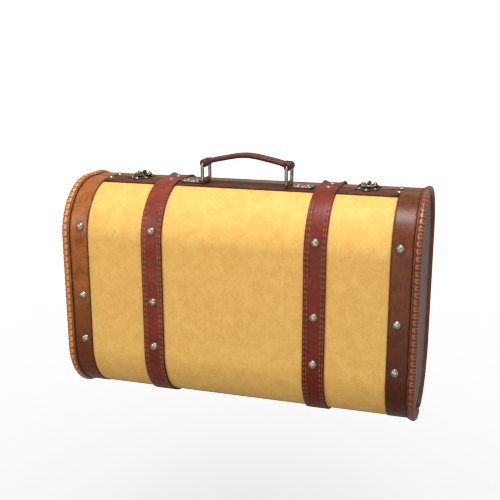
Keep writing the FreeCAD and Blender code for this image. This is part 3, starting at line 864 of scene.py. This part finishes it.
@dataclass
class Skins:
    """Covers, end bands and rims of both halves."""

    shells: dict[Half, Shell]
    palette: Palette
    cover_over: float = 0.9 * MM
    rim_over: float = 1.7 * MM
    glue: float = 0.1 * MM
    rim_width: float = 31.0 * MM
    seam: float = 0.3 * MM
    ease: float = 0.5 * MM

    def build(self) -> None:
        """Builds the cover, the two rims and the two bands of each half."""
        for half, shell in self.shells.items():
            label = half.label
            gap, far = self.rim_width + self.glue, shell.girth - self.seam
            self._skin(shell, f"{label}_cover", "cover_skin", "cover_leather",
                       (gap, shell.girth - gap), (0.3 * MM, 24, 3 * MM), lambda a, s: self.cover_over)
            for side, reach in (("top", (self.seam, self.rim_width)),
                                ("bottom", (shell.girth - self.rim_width, far))):
                self._skin(shell, f"{label}_{side}_rim", f"{side}_rim_skin", f"rim_leather_{label}",
                           reach, (0.5 * MM, 24, 1.2 * MM), self._eased(reach))
            for end in End:
                self._skin(shell, f"{label}_band_{end.label}", f"band_skin_{end.label}",
                           f"band_leather_{end.label}", (self.seam, far), (0.6 * MM, 12, 2.5 * MM),
                           self._eased((self.seam, far)))

    def _skin(self, shell: Shell, node: str, name: str, finish: str, reach: Span,
              fineness: tuple[float, int, float], over: Callable[[float, float], float]) -> None:
        """One skin in place of a CAD node; its fineness is corner radius, columns and step."""
        low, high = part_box(node)
        corner, columns, step = fineness
        strip = Strip(f"{shell.half.label}_{name}", (low.x, high.x), reach, lambda s: self.glue, over,
                      corner, steps(columns), step)
        self.palette.settle(strip.build(shell), finish, shell.half.body, node)

    def _eased(self, reach: Span) -> Callable[[float, float], float]:
        """Outer offset that drops a little at a strip's two ends."""
        def over(across: float, station: float) -> float:
            """Offset at a station."""
            gap = min(station - reach[0], reach[1] - station)
            return self.rim_over - self.ease * (1 - smooth(gap, -self.ease, 2 * self.ease))
        return over


@dataclass
class Straps:
    """The four strap halves with their stitch rows and curled back corners."""

    shells: dict[Half, Shell]
    copies: Copies
    palette: Palette
    rim_width: float = 31.0 * MM
    over: float = 3.3 * MM
    over_rim: float = 1.8 * MM
    over_cover: float = 1.0 * MM
    start: float = 0.5 * MM
    bottom_gap: float = 6.5 * MM
    corner: float = 0.5 * MM
    rows: Sequence[float] = (2.1 * MM, 5.0 * MM)
    row_starts: Sequence[float] = (73 * MM, 60 * MM)
    row_sink: float = 0.35 * MM
    row_reach: float = 1.1 * MM
    row_inset: float = 4 * MM
    thread_sink: float = 0.22 * MM
    end_drop: float = 0.6 * MM
    end_ease: float = 1.2 * MM
    rim_step: Span = (-1 * MM, 1.5 * MM)
    pitch: float = 6.6 * MM
    wobble: float = 0.05
    stitch: Sequence[float] = (2.0 * MM, 0.42 * MM, 0.3 * MM)
    curls: Sequence[Span] = ((2.9 * MM, 1.0 * MM), (2.3 * MM, 2.3 * MM))
    curl_at: float = 30 * MM
    curl_width: float = 8 * MM
    curl_reach: float = 16 * MM

    def build(self) -> None:
        """Builds straps and stitches."""
        template = self._template()
        for half, shell in self.shells.items():
            paths = Guide()
            for end, row_start, curls in zip(End, self.row_starts, self.curls):
                left, right = self._strap(shell, end, row_start, curls)
                reach = (row_start, shell.girth - self.bottom_gap - self.row_inset)
                for row in self.rows:
                    for x in (left + row, right - row):
                        paths.path(shell, x, reach, self.over - self.thread_sink)
            thread = "strap_thread"
            piece = self.copies.run(f"{half.label}_strap_stitches", paths, template,
                                    self.palette.materials[thread], self.pitch, self.wobble)
            self.palette.settle(piece, thread, half.body)
        bpy.data.objects.remove(template)

    def _strap(self, shell: Shell, end: End, row_start: float, curls: Span) -> Span:
        """One strap half, and its two edges along X."""
        half = shell.half
        node = f"{half.label}_strap_{end.label}"
        low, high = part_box(node)
        width = high.x - low.x
        reach = (self.start, shell.girth - self.bottom_gap)

        def under(station: float) -> float:
            """Inner side, stepped over the rims."""
            near = min(station, shell.girth - station)
            part = smooth(near, *(self.rim_width + shift for shift in self.rim_step))
            return self.over_rim + (self.over_cover - self.over_rim) * part

        def over(across: float, station: float) -> float:
            """Outer side, sunk along the stitch rows."""
            near = min(across, width - across)
            sink = 0.0
            if station > row_start - self.row_inset:
                sink = sum(self.row_sink * bump(near, row, self.row_reach) for row in self.rows)
            gap = min(station - reach[0], reach[1] - station)
            return self.over - sink - self.end_drop * (1 - smooth(gap, 0.0, self.end_ease))

        def lift(across: float, station: float) -> float:
            """Curl of the back straps' edges over the top corner."""
            if half is Half.FRONT:
                return 0.0
            left, right = (1 - smooth(gap, 0.0, self.curl_width) for gap in (across, width - across))
            return (curls[0] * left + curls[1] * right) * bump(station, self.curl_at, self.curl_reach)

        fine = [0.0, 0.02, 0.26, 0.32, 0.4]
        fine += [(row + shift * 0.45 * MM - self.corner) / (width - 2 * self.corner)
                 for row in self.rows for shift in range(-2, 3)]
        columns = sorted({*fine, *(1 - part for part in fine), 0.5})
        strip = Strip(f"{half.label}_strap_leather_{end.label}", (low.x, high.x), reach, under, over,
                      self.corner, columns, 2.4 * MM, lift)
        self.palette.settle(strip.build(shell), f"strap_leather_{end.label}", half.body, node)
        return low.x, high.x

    def _template(self) -> Piece:
        """One stitch, plump in the middle."""
        maker = Maker("stitch_template")
        long, wide, high = self.stitch
        rings = []
        for part in (-1.0, -0.8, -0.3, 0.3, 0.8, 1.0):
            fat = math.sqrt(max(1 - part * part, 0.04))
            rings.append([Cut(Vector((long * part, wide * fat * math.cos(angle),
                                      high * fat * math.sin(angle)))) for angle in circle(6)])
        maker.loft(rings)
        return maker.build(60.0)


@dataclass
class Trims:
    """Laced cords round both ends of each half: a core, a smooth piping and raised scales."""

    shells: dict[Half, Shell]
    copies: Copies
    palette: Palette
    core_x: float = 215.5 * MM
    core_lift: float = 0.25 * MM
    core_radius: float = 4.1 * MM
    core_ease: float = 1.5 * MM
    piping_x: float = 211.65 * MM
    piping_lift: float = 2.0 * MM
    piping_radius: float = 1.35 * MM
    piping_ease: float = 1.0 * MM
    piping_inset: float = 0.5 * MM
    start: float = 0.3 * MM
    bottom_gap: float = 6.5 * MM
    pitch: float = 8.0 * MM
    scale_radius: float = 4.0 * MM
    scale_rise: float = 0.6 * MM
    scale_turns: Span = (math.radians(-52), math.radians(108))
    scales_from: float = 22 * MM

    def build(self) -> None:
        """Builds core, piping and scales at both ends of both halves."""
        templates = {end: self._scale(end) for end in End}
        for half, shell in self.shells.items():
            for end in End:
                label, start, stop = end.label, self.start, shell.girth - self.bottom_gap
                core_x = end.value * self.core_x
                core = self._tube(f"{half.label}_trim_core_{label}", shell, (start, stop),
                                  (core_x, self.core_lift), self.core_radius, 20, self.core_ease)
                self.palette.settle(core, f"core_leather_{label}", half.body, f"{half.label}_trim_{label}")
                piping = self._tube(f"{half.label}_trim_piping_{label}", shell,
                                    (start + self.piping_inset, stop - self.piping_inset),
                                    (end.value * self.piping_x, self.piping_lift), self.piping_radius, 12,
                                    self.piping_ease)
                self.palette.settle(piping, f"piping_leather_{label}", half.body)
                path = Guide()
                path.path(shell, core_x, (self.scales_from, stop - self.pitch / 2), self.core_lift)
                lacing = f"trim_lacing_{label}"
                scales = self.copies.run(f"{half.label}_trim_scales_{label}", path, templates[end],
                                         self.palette.materials[lacing], self.pitch)
                self.palette.settle(scales, lacing, half.body)
        for used in templates.values():
            bpy.data.objects.remove(used)

    def _tube(self, name: str, shell: Shell, reach: Span, middle: Span, radius: float, sides: int,
              ease: float) -> Piece:
        """A round cord along the shell, at an x and a lift, with rounded ends."""
        start, end = reach
        x, lift = middle
        tips = [ease * (1 - math.cos(angle)) for angle in steps(4, 0.0, math.pi / 2)[1:4]]
        rings = []
        for station in sorted({*shell.stations(start, end, 2.6 * MM), *(start + tip for tip in tips),
                               *(end - tip for tip in tips)}):
            gap = min(station - start, end - station)
            part = min(gap / ease, 1.0)
            fat = radius - ease * 0.8 * (1 - math.sqrt(1 - (1 - part) ** 2))
            rings.append([Cut(shell.spot(x + fat * math.sin(angle), station, lift + fat * math.cos(angle)),
                              (fat * math.sin(angle), 0.35, gap)) for angle in circle(sides)])
        maker = Maker(name)
        maker.loft(rings)
        return maker.build(50.0)

    def _scale(self, end: End) -> Piece:
        """One raised scale with a ridge along its arched outline, and its height in its lay."""
        foot, shoulder = 0.38, 0.62
        rings = []
        for along in steps(9, -1.0, 1.0):
            ring = []
            for around in steps(10, -1.0, 1.0):
                low, high = self.scale_turns
                angle = low + (high - low) * (around + 1) / 2
                arch = shoulder * (1 - abs(around) ** 2.4) ** 0.5
                rim = max(abs(around), (along + foot) / (arch + foot) if along > -foot else -along)
                body = (1 - abs(along) ** 6) * (1 - abs(around) ** 6)
                ridge = 0.45 * bump(rim, 0.62, 0.38)
                reach = self.scale_radius + self.scale_rise * (0.6 * body + ridge) * (0.85 + 0.15 * along)
                point = Vector((0.49 * self.pitch * along, reach * math.sin(angle) * end.value,
                                reach * math.cos(angle)))
                ring.append(Cut(point, (around, 0.9 * body * (0.25 + 0.75 * bump(rim, 0.72, 0.5)), 0.0)))
            rings.append(ring)
        maker = Maker(f"scale_template_{end.label}")
        maker.loft(rings, sheet=True)
        return maker.build(80.0, False)


@dataclass
class RivetHeads:
    """Domed heads of the bands', straps' and rims' rivets, one piece for each half."""

    shells: dict[Half, Shell]
    copies: Copies
    palette: Palette
    head: Span = (5.2 * MM, 3.5 * MM)
    low_head: Span = (4.0 * MM, 1.6 * MM)
    lifts: Sequence[tuple[str, float]] = (("band", 1.7 * MM), ("strap", 3.3 * MM), ("rim", 1.7 * MM))
    flange: Sequence[Span] = ((0.96, -0.02), (1.0, 0.02), (1.0, 0.10), (0.95, 0.16))
    dome_foot: Span = (0.93, 0.16)
    close: float = 12 * MM

    def build(self) -> None:
        """Sets a head on every rivet, lower and smaller ones on top of the case."""
        maker = Maker("rivet_template")
        wide, foot = self.dome_foot
        dome = [(wide * math.cos(angle), foot + (1 - foot) * math.sin(angle))
                for angle in steps(7, 0.0, math.pi / 2)[1:7]]
        maker.lathe(Vector(), [*self.flange, *dome, (0.02, 1.0)], 28)
        template = maker.build(40.0)
        for half, shell in self.shells.items():
            guide, nodes = Guide(), []
            for kind, lift in self.lifts:
                nodes.append(f"{half.label}_{kind}_rivets")
                for middle in self._middles(nodes[-1]):
                    station = self._station(shell, middle)
                    radius, height = self.low_head if station < shell.flat else self.head
                    guide.add(shell, middle.x, station, lift, (radius, radius, height))
            piece = self.copies.run(f"{half.label}_rivet_heads", guide, template,
                                    self.palette.materials["rivet_metal"])
            self.palette.settle(piece, "rivet_metal", half.body, *nodes)
        bpy.data.objects.remove(template)

    @staticmethod
    def _middles(node: str) -> list[Vector]:
        """Middles of the separate solids of a CAD node, where their heads stand."""
        net = bmesh.new()
        net.from_mesh(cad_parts[node].data)
        bmesh.ops.remove_doubles(net, verts=net.verts, dist=0.01 * MM)
        left = set(net.verts)
        found = []
        while left:
            group = [left.pop()]
            for vert in group:
                fresh = [other for edge in vert.link_edges if (other := edge.other_vert(vert)) in left]
                left.difference_update(fresh)
                group += fresh
            low, high = (Vector(end(vert.co[axis] for vert in group) for axis in range(3))
                         for end in (min, max))
            found.append((low + high) / 2)
        net.free()
        return sorted(found, key=lambda spot: (round(spot.x, 4), round(spot.z, 4)))

    def _station(self, shell: Shell, spot: Vector) -> float:
        """Station whose outward line passes nearest to a point, among those close to it."""
        def miss(station: float) -> float:
            """Distance of the line, or more where the station is far off."""
            away = shell.spot(spot.x, station, 0.0) - spot
            return away.cross(shell.normal(station)).length + (1.0 if away.length > self.close else 0.0)

        return min(steps(2400, 0.0, shell.girth / 2 + 60 * MM), key=miss)


@dataclass
class Handle:
    """Grip, rings, tabs and plates of the carrying handle."""

    palette: Palette
    y: float = -15 * MM
    ring_x: float = 52.8 * MM
    bar_z: float = 302.4 * MM
    rise: float = 10.75 * MM
    flank: float = 1.1 * MM
    thickness: float = 5.3 * MM
    width: float = 16.5 * MM
    squareness: float = 3.0
    end_radius: float = 4.6 * MM
    end_width: float = 19.0 * MM
    end_soft: float = 0.9 * MM
    bar_radius: float = 1.95 * MM
    lip: Sequence[Span] = ((0.99, -0.4), (0.985, 0.55), (0.93, 0.68), (0.89, 0.62), (0.885, 0.3),
                           (0.92, -0.4))
    plate_x: Span = (57.4 * MM, 84.0 * MM)
    plate_y: Span = (-24.0 * MM, -6.0 * MM)
    plate_z: float = 279.7 * MM
    scallop: float = 1.5 * MM
    plate_side: Sequence[Span] = ((1, -1.0), (1, -0.2), (0.97, 0.1), (0.9, 0.3), (0.82, 0.1), (0.76, -0.02))
    lip_inset: Span = (0.6 * MM, 1.6 * MM)
    rivet_xs: Span = (64.2 * MM, 76.7 * MM)
    rivet_size: Span = (3.4 * MM, 1.7 * MM)

    def build(self) -> None:
        """Builds the handle's pieces."""
        self._grip()
        maker = Maker("grip_folds")
        for end in End:
            self._loop(maker, end)
            self._lip(maker, end)
        self.palette.settle(maker.build(40.0), "grip_end_leather", "grip")
        self._plates()
        spots = [Vector((end.value * x, self.y, self.plate_z)) for end in End for x in self.rivet_xs]
        heads = domes("handle_rivet_heads", [(spot, *self.rivet_size) for spot in spots])
        self.palette.settle(heads, "rivet_metal", "front_half", "handle_rivets")
        for end in End:
            self.palette.repaint(f"ring_{end.label}", "ring_metal")
        self.palette.repaint("handle_tabs", "tab_leather")

    def _heart(self, part: float) -> tuple[Vector, Vector]:
        """Centre line of the grip, and its upward normal, at a part of -1 to 1 of its length."""
        radius = (self.ring_x ** 2 + self.rise ** 2) / (2 * self.rise)
        angle = math.asin(self.ring_x / radius) * part
        out = Vector((math.sin(angle), 0, math.cos(angle)))
        middle = Vector((0, self.y, self.bar_z + self.rise - radius))
        return middle + out * (radius - self.flank * math.sin(math.pi * abs(part)) ** 2), out

    def _grip(self) -> None:
        """The arched grip: a flat leather roll that widens towards its ends."""
        half_width, half_height = self.width / 2, self.thickness / 2
        power = 2 / self.squareness
        section = [(half_width * math.copysign(abs(math.cos(angle)) ** power, math.cos(angle)),
                    half_height * math.copysign(abs(math.sin(angle)) ** power, math.sin(angle)))
                   for angle in circle(28)]
        rings = []
        for part in steps(48, -1.0, 1.0):
            heart, out = self._heart(part)
            stretch = 1 + (self.end_width / self.width - 1) * smooth(abs(part), 0.8, 1.0)
            rings.append([Cut(heart + Vector((0, side * stretch, 0)) + out * height,
                              (side, part * self.ring_x, half_width - abs(side)))
                          for side, height in section])
        maker = Maker("grip_leather")
        maker.loft(rings)
        self.palette.settle(maker.build(40.0), "grip_leather", "grip", "grip")

    def _loop(self, maker: Maker, end: End) -> None:
        """The leather loop round a ring's upper bar."""
        half, reach, soft = self.end_width / 2, self.end_radius, self.end_soft
        side = [(half - soft, reach), (half, reach - soft), (half, self.bar_radius)]
        profile = [(-across, far) for across, far in reversed(side)] + side
        maker.loft([[Cut(Vector((end.value * self.ring_x + far * math.cos(angle), self.y + across,
                                 self.bar_z + far * math.sin(angle))),
                         (across, far * angle, half - abs(across))) for across, far in profile]
                    for angle in circle(32)], closed=True)

    def _lip(self, maker: Maker, end: End) -> None:
        """The cut edge of the fold, which stands up a little where it meets the grip."""
        far, near = (self.end_width / 2 - inset for inset in self.lip_inset)
        rings = []
        for across, full in ((-far, 0.5), (-near, 1.0), (near, 1.0), (far, 0.5)):
            ring = []
            for part, height in self.lip:
                heart, out = self._heart(end.value * part)
                ring.append(Cut(heart + out * (self.thickness * height * full) + Vector((0, across, 0))))
            rings.append(ring)
        maker.loft(rings)

    def _plates(self) -> None:
        """The silvery plates over the tabs, with scalloped long edges and a raised border."""
        section = [*((-across, height) for across, height in self.plate_side), (0.0, 0.04),
                   *reversed(self.plate_side)]
        start, stop = self.plate_x
        low, high = self.plate_y
        maker = Maker("handle_plate_relief")
        for end in End:
            rings = []
            for part in steps(36):
                wave = 0.5 + 0.5 * math.cos(2 * math.pi * part * 3)
                half = (high - low) / 2 - self.scallop * wave
                half *= math.sqrt(max(1 - abs(2 * part - 1) ** 14, 0.35))
                x = end.value * (start + (stop - start) * part)
                rings.append([Cut(Vector((x, (low + high) / 2 + half * across, self.plate_z + height * MM)))
                              for across, height in section])
            maker.loft(rings)
        self.palette.settle(maker.build(40.0), "plate_metal", "front_half", "handle_plates")


@dataclass
class Latches:
    """Relief of the latches: scrolls and ribs, beads and fluted knobs."""

    palette: Palette
    x: float = 146.0 * MM
    deck: float = 278.4 * MM
    start: float = 2.2 * MM
    depth: float = 13.0 * MM
    lobe_radius: float = 4.2 * MM
    lobe_x: float = 9.6 * MM
    plate_curl: tuple[Span, Span] = ((4.6 * MM, 1.4 * MM), (90, 590))
    plate_border: Span = (-27, 207)
    hasp_curl: tuple[Span, Span] = ((3.3 * MM, 1.0 * MM), (200, 670))
    screw: Span = (1.7 * MM, 1.2 * MM)
    bead: Span = (2.2 * MM, 1.6 * MM)
    hasp_top: float = 280.8 * MM
    hasp_bead: Span = (2.2 * MM, 2.8 * MM)
    hasp_bead_x: float = 7.3 * MM
    knob_y: float = 8.0 * MM
    knob_z: Span = (281.15 * MM, 285.0 * MM)
    knob_half: Span = (2.25 * MM, 4.8 * MM)
    flutes: int = 8
    flute_depth: float = 0.09
    knob_profile: Sequence[Span] = (
        (0.45, -0.02), (0.86, 0.0), (1.0, 0.12), (1.0, 0.4), (0.94, 0.56), (0.84, 0.7), (0.68, 0.8),
        (0.62, 0.82), (0.56, 0.88), (0.36, 0.96), (0.03, 1.0))

    def build(self) -> None:
        """Builds the relief of both latches."""
        middle = self.start + self.depth / 2
        for half in Half:
            maker = Maker(f"{half.label}_latch_relief")
            heads = []
            for end in End:
                foot = Vector((end.value * self.x, 0, self.deck))
                self._plate(maker, half, foot)
                heads += [(foot + Vector((side * self.lobe_x, half.value * middle, 0)), *self.screw)
                          for side in (-1, 1)]
                tip = half.value * (self.start + self.depth + 0.6 * MM)
                heads.append((foot + Vector((0, tip, 0)), *self.bead))
            self.palette.settle(maker.build(50.0), "bronze_relief", half.body)
            beads = domes(f"{half.label}_latch_beads", heads)
            self.palette.settle(beads, "plate_metal", half.body, f"{half.label}_latch_screws")
        for end in End:
            self._hasp(end)
            self._knob(end)

    @staticmethod
    def _wire(maker: Maker, points: Sequence[Vector], radius: float, taper: float = 0.35) -> None:
        """A raised line through points, thinner at its ends."""
        rings = []
        count = len(points) - 1
        for index, point in enumerate(points):
            along = (points[min(index + 1, count)] - points[max(index - 1, 0)]).normalized()
            side = along.cross(Vector((0, 0, 1))).normalized()
            up = side.cross(along)
            fat = radius * (taper + (1 - taper) * math.sin(math.pi * index / count) ** 0.5)
            rings.append([Cut(point + (side * math.cos(angle) + up * math.sin(angle)) * fat)
                          for angle in circle(8)])
        maker.loft(rings)

    @staticmethod
    def _scroll(middle: Vector, ways: Span, reach: Span, turns: Span, count: int) -> list[Vector]:
        """A spiral in the plane of X and Y: reach and turns, in degrees, go from first to second."""
        found = []
        for part in steps(count):
            far = reach[0] + (reach[1] - reach[0]) * part
            angle = math.radians(turns[0] + (turns[1] - turns[0]) * part)
            x, y = ways[0] * math.cos(angle), ways[1] * math.sin(angle)
            found.append(middle + Vector((x, y, 0)) * far)
        return found

    def _plate(self, maker: Maker, half: Half, foot: Vector) -> None:
        """Scrolls and a border on one plate."""
        away = half.value
        for side in (-1, 1):
            middle = foot + Vector((side * (self.lobe_x - 0.1 * MM), away * (self.start + self.depth / 2),
                                    0.15 * MM))
            self._wire(maker, self._scroll(middle, (side, away), *self.plate_curl, 18), 0.75 * MM, 0.5)
            self._wire(maker, [foot + Vector((side * (2.0 + 4.6 * math.sin(math.pi * part)) * MM,
                                              away * (self.start + (2.5 + 14.5 * part) * MM), 0.1 * MM))
                               for part in steps(12)], 0.8 * MM)
        tip = foot + Vector((0, away * (self.start + self.depth), 0.1 * MM))
        border = self._scroll(tip, (1, away), (self.lobe_radius,) * 2, self.plate_border, 16)
        self._wire(maker, border, 0.8 * MM)

    def _hasp(self, end: End) -> None:
        """Ribs, curls and beads along the two prongs of a hasp, and a fan at its root."""
        maker = Maker(f"hasp_relief_{end.label}")
        foot = Vector((end.value * self.x, 0, self.hasp_top))
        for side in (-1, 1):
            self._wire(maker, [foot + Vector((side * (4.9 + 1.1 * math.sin(math.pi * part)) * MM,
                                              (-1.5 + 14.0 * part) * MM, 0)) for part in steps(14)],
                       1.3 * MM, 0.4)
            middle = foot + Vector((side * 7.6 * MM, 4.0 * MM, 0))
            self._wire(maker, self._scroll(middle, (side, 1), *self.hasp_curl, 16), 1.0 * MM, 0.5)
        self._wire(maker, [foot + Vector((3.4 * MM * math.sin(angle), -0.6 * MM - 1.6 * MM * math.cos(angle),
                                          0.2 * MM))
                           for angle in steps(12, math.radians(-70), math.radians(70))], 1.0 * MM, 0.4)
        self.palette.settle(maker.build(50.0), "bronze_relief", f"hasp_{end.label}")
        beads = domes(f"hasp_beads_{end.label}",
                      [(foot + Vector((side * self.hasp_bead_x, self.knob_y, -0.1 * MM)), *self.hasp_bead)
                       for side in (-1, 1)])
        self.palette.settle(beads, "bronze_relief", f"hasp_{end.label}")

    def _knob(self, end: End) -> None:
        """Oval fluted knob with a bead on top, in place of the plain one."""
        low, high = self.knob_z
        across, along = self.knob_half
        foot = (self.deck + 0.05 * MM - low) / (high - low)
        rings = []
        for reach, part in [(self.knob_profile[0][0], foot), *self.knob_profile]:
            ring = []
            for angle in circle(40):
                wave = 0.5 + 0.5 * math.cos(self.flutes * angle)
                flute = 1 - self.flute_depth * wave * smooth(part, -0.05, 0.2)
                far = along if part >= 0 else across
                ring.append(Cut(Vector((end.value * self.x + across * reach * flute * math.cos(angle),
                                        self.knob_y + far * reach * flute * math.sin(angle),
                                        low + (high - low) * part)), (0.0, part, 0.0)))
            rings.append(ring)
        maker = Maker(f"knob_relief_{end.label}")
        maker.loft(rings)
        self.palette.settle(maker.build(50.0), "bronze", f"knob_{end.label}", f"knob_{end.label}")


@dataclass
class Carcass:
    """CAD nodes that show as they are: wood, lining, hinges and latches."""

    palette: Palette

    def build(self) -> None:
        """Paints the CAD nodes."""
        boards = {"carcass_ply": ("wrap", "mouth_frame", "end_board_left", "end_board_right"),
                  "lining_cloth": ("lining",), "panel_leather": ("end_panel_left", "end_panel_right"),
                  "hinge_brass": ("hinge_screws",)}
        shown = {finish: [f"{half.label}_{part}" for half in Half for part in parts]
                 for finish, parts in boards.items()}
        shown["hinge_brass"] += ["hinge_front_leaves", "hinge_back_leaves", "hinge_pins"]
        shown["bronze"] = ["hasp_pins", "keeper_plates"]
        shown["bronze"] += [f"{part}_{end.label}" for end in End for part in ("latch_plate", "hasp")]
        for finish, nodes in shown.items():
            for node in nodes:
                self.palette.repaint(node, finish)


@dataclass
class Studio:
    """Camera, lights and the pale floor."""

    place: Sequence[float] = (293.1 * MM, -961.8 * MM, 452.9 * MM)
    yaw: float = -16.999
    pitch: float = 14.601
    roll: float = -0.095
    lens: float = 59.18
    sensor: float = 36.0
    surroundings: float = 0.43
    aim: Sequence[float] = (0, 0, 0.14)
    lamps: Sequence[tuple[str, Sequence[float], float, float]] = (
        ("overhead", (0.15, -0.28, 1.45), 0.55, 16.5), ("window", (-0.9, -1.3, 0.9), 0.9, 9.5),
        ("fill", (1.4, -0.9, 0.7), 1.0, 2.0), ("bounce", (0.1, -1.2, -0.12), 1.1, 4.6))
    floor_level: float = -215 * MM
    floor_reach: float = 6.0
    floor_greys: Span = (0.86, 0.9)

    def build(self) -> None:
        """Sets up the studio."""
        self._camera()
        self._world()
        self._floor([self._light(*lamp) for lamp in self.lamps])
        settings = bpy.context.scene.view_settings
        settings.view_transform = "Standard"
        settings.look = "None"

    def _camera(self) -> None:
        """The photograph's camera."""
        data = bpy.data.cameras.new("camera")
        data.lens = self.lens
        data.sensor_width = self.sensor
        data.clip_start = 0.01
        camera = link("camera", data)
        yaw, pitch, roll = (math.radians(angle) for angle in (self.yaw, self.pitch, self.roll))
        forward = Vector((math.sin(yaw) * math.cos(pitch), math.cos(yaw) * math.cos(pitch),
                          -math.sin(pitch)))
        right = Vector((math.cos(yaw), -math.sin(yaw), 0))
        up = right.cross(forward)
        across = right * math.cos(roll) + up * math.sin(roll)
        upward = up * math.cos(roll) - right * math.sin(roll)
        turn = Matrix((across, upward, -forward)).transposed().to_4x4()
        camera.matrix_world = Matrix.Translation(Vector(self.place)) @ turn
        bpy.context.scene.camera = camera

    def _world(self) -> None:
        """White where the camera looks, soft grey light for everything else."""
        world = bpy.data.worlds.new("surroundings")
        world.use_nodes = True
        sky = Nodes(world.node_tree)
        kind = "ShaderNodeBackground"
        light = sky.out(kind, "Background", None, {"Color": (1.0, 0.98, 0.95, 1.0),
                                                   "Strength": self.surroundings})
        seen = sky.out(kind, "Background", None, {"Color": (1.0, 1.0, 1.0, 1.0)})
        camera_ray = sky.out("ShaderNodeLightPath", "Is Camera Ray")
        choice = sky.out("ShaderNodeMixShader", "Shader", None, {0: camera_ray, 1: light, 2: seen})
        sky.node("ShaderNodeOutputWorld", None, {"Surface": choice})
        bpy.context.scene.world = world

    def _light(self, name: str, place: Sequence[float], size: float, power: float) -> Piece:
        """A large soft lamp turned to the case."""
        data = bpy.data.lights.new(name, "AREA")
        data.shape = "DISK"
        data.size = size
        data.energy = power
        lamp = link(name, data)
        lamp.location = place
        aim = Vector(self.aim) - Vector(place)
        lamp.rotation_euler = aim.to_track_quat("-Z", "Y").to_euler()
        return lamp

    def _floor(self, lamps: Sequence[Piece]) -> None:
        """A pale floor kept from the lamps, low enough for the opened lid to show."""
        mesh = bpy.data.meshes.new("floor")
        reach = self.floor_reach
        corners = [(x, y, self.floor_level) for x, y in ((-reach, -reach), (reach, -reach), (reach, reach),
                                                         (-reach, reach))]
        mesh.from_pydata(corners, [], [(0, 1, 2, 3)])
        floor = link("floor", mesh)
        graph = Graph("pale_floor")
        dark, light = ((grey, grey, grey, 1.0) for grey in self.floor_greys)
        tint = graph.noise(graph.place(), 0.4, 2.0)
        graph.surface(Base_Color=graph.mix(tint, dark, light), Roughness=0.9)
        mesh.materials.append(graph.material)
        floor.is_shadow_catcher = True
        unlit = bpy.data.collections.new("kept_from_lamps")
        unlit.objects.link(floor)
        unlit.collection_objects[0].light_linking.link_state = "EXCLUDE"
        for lamp in lamps:
            lamp.light_linking.receiver_collection = unlit


def main() -> None:
    """Builds the studio and every sub-assembly in order."""
    logging.basicConfig(level=logging.INFO, format="%(message)s")
    Studio().build()
    palette = Palette()
    along_paths, at_spots = Copies("copies_along_paths", True), Copies("copies_at_spots", False)
    shells = {half: Shell.measured(half) for half in Half}
    Carcass(palette).build()
    Skins(shells, palette).build()
    Straps(shells, along_paths, palette).build()
    Trims(shells, along_paths, palette).build()
    RivetHeads(shells, at_spots, palette).build()
    Handle(palette).build()
    Latches(palette).build()


if __name__ == "__main__":
    main()
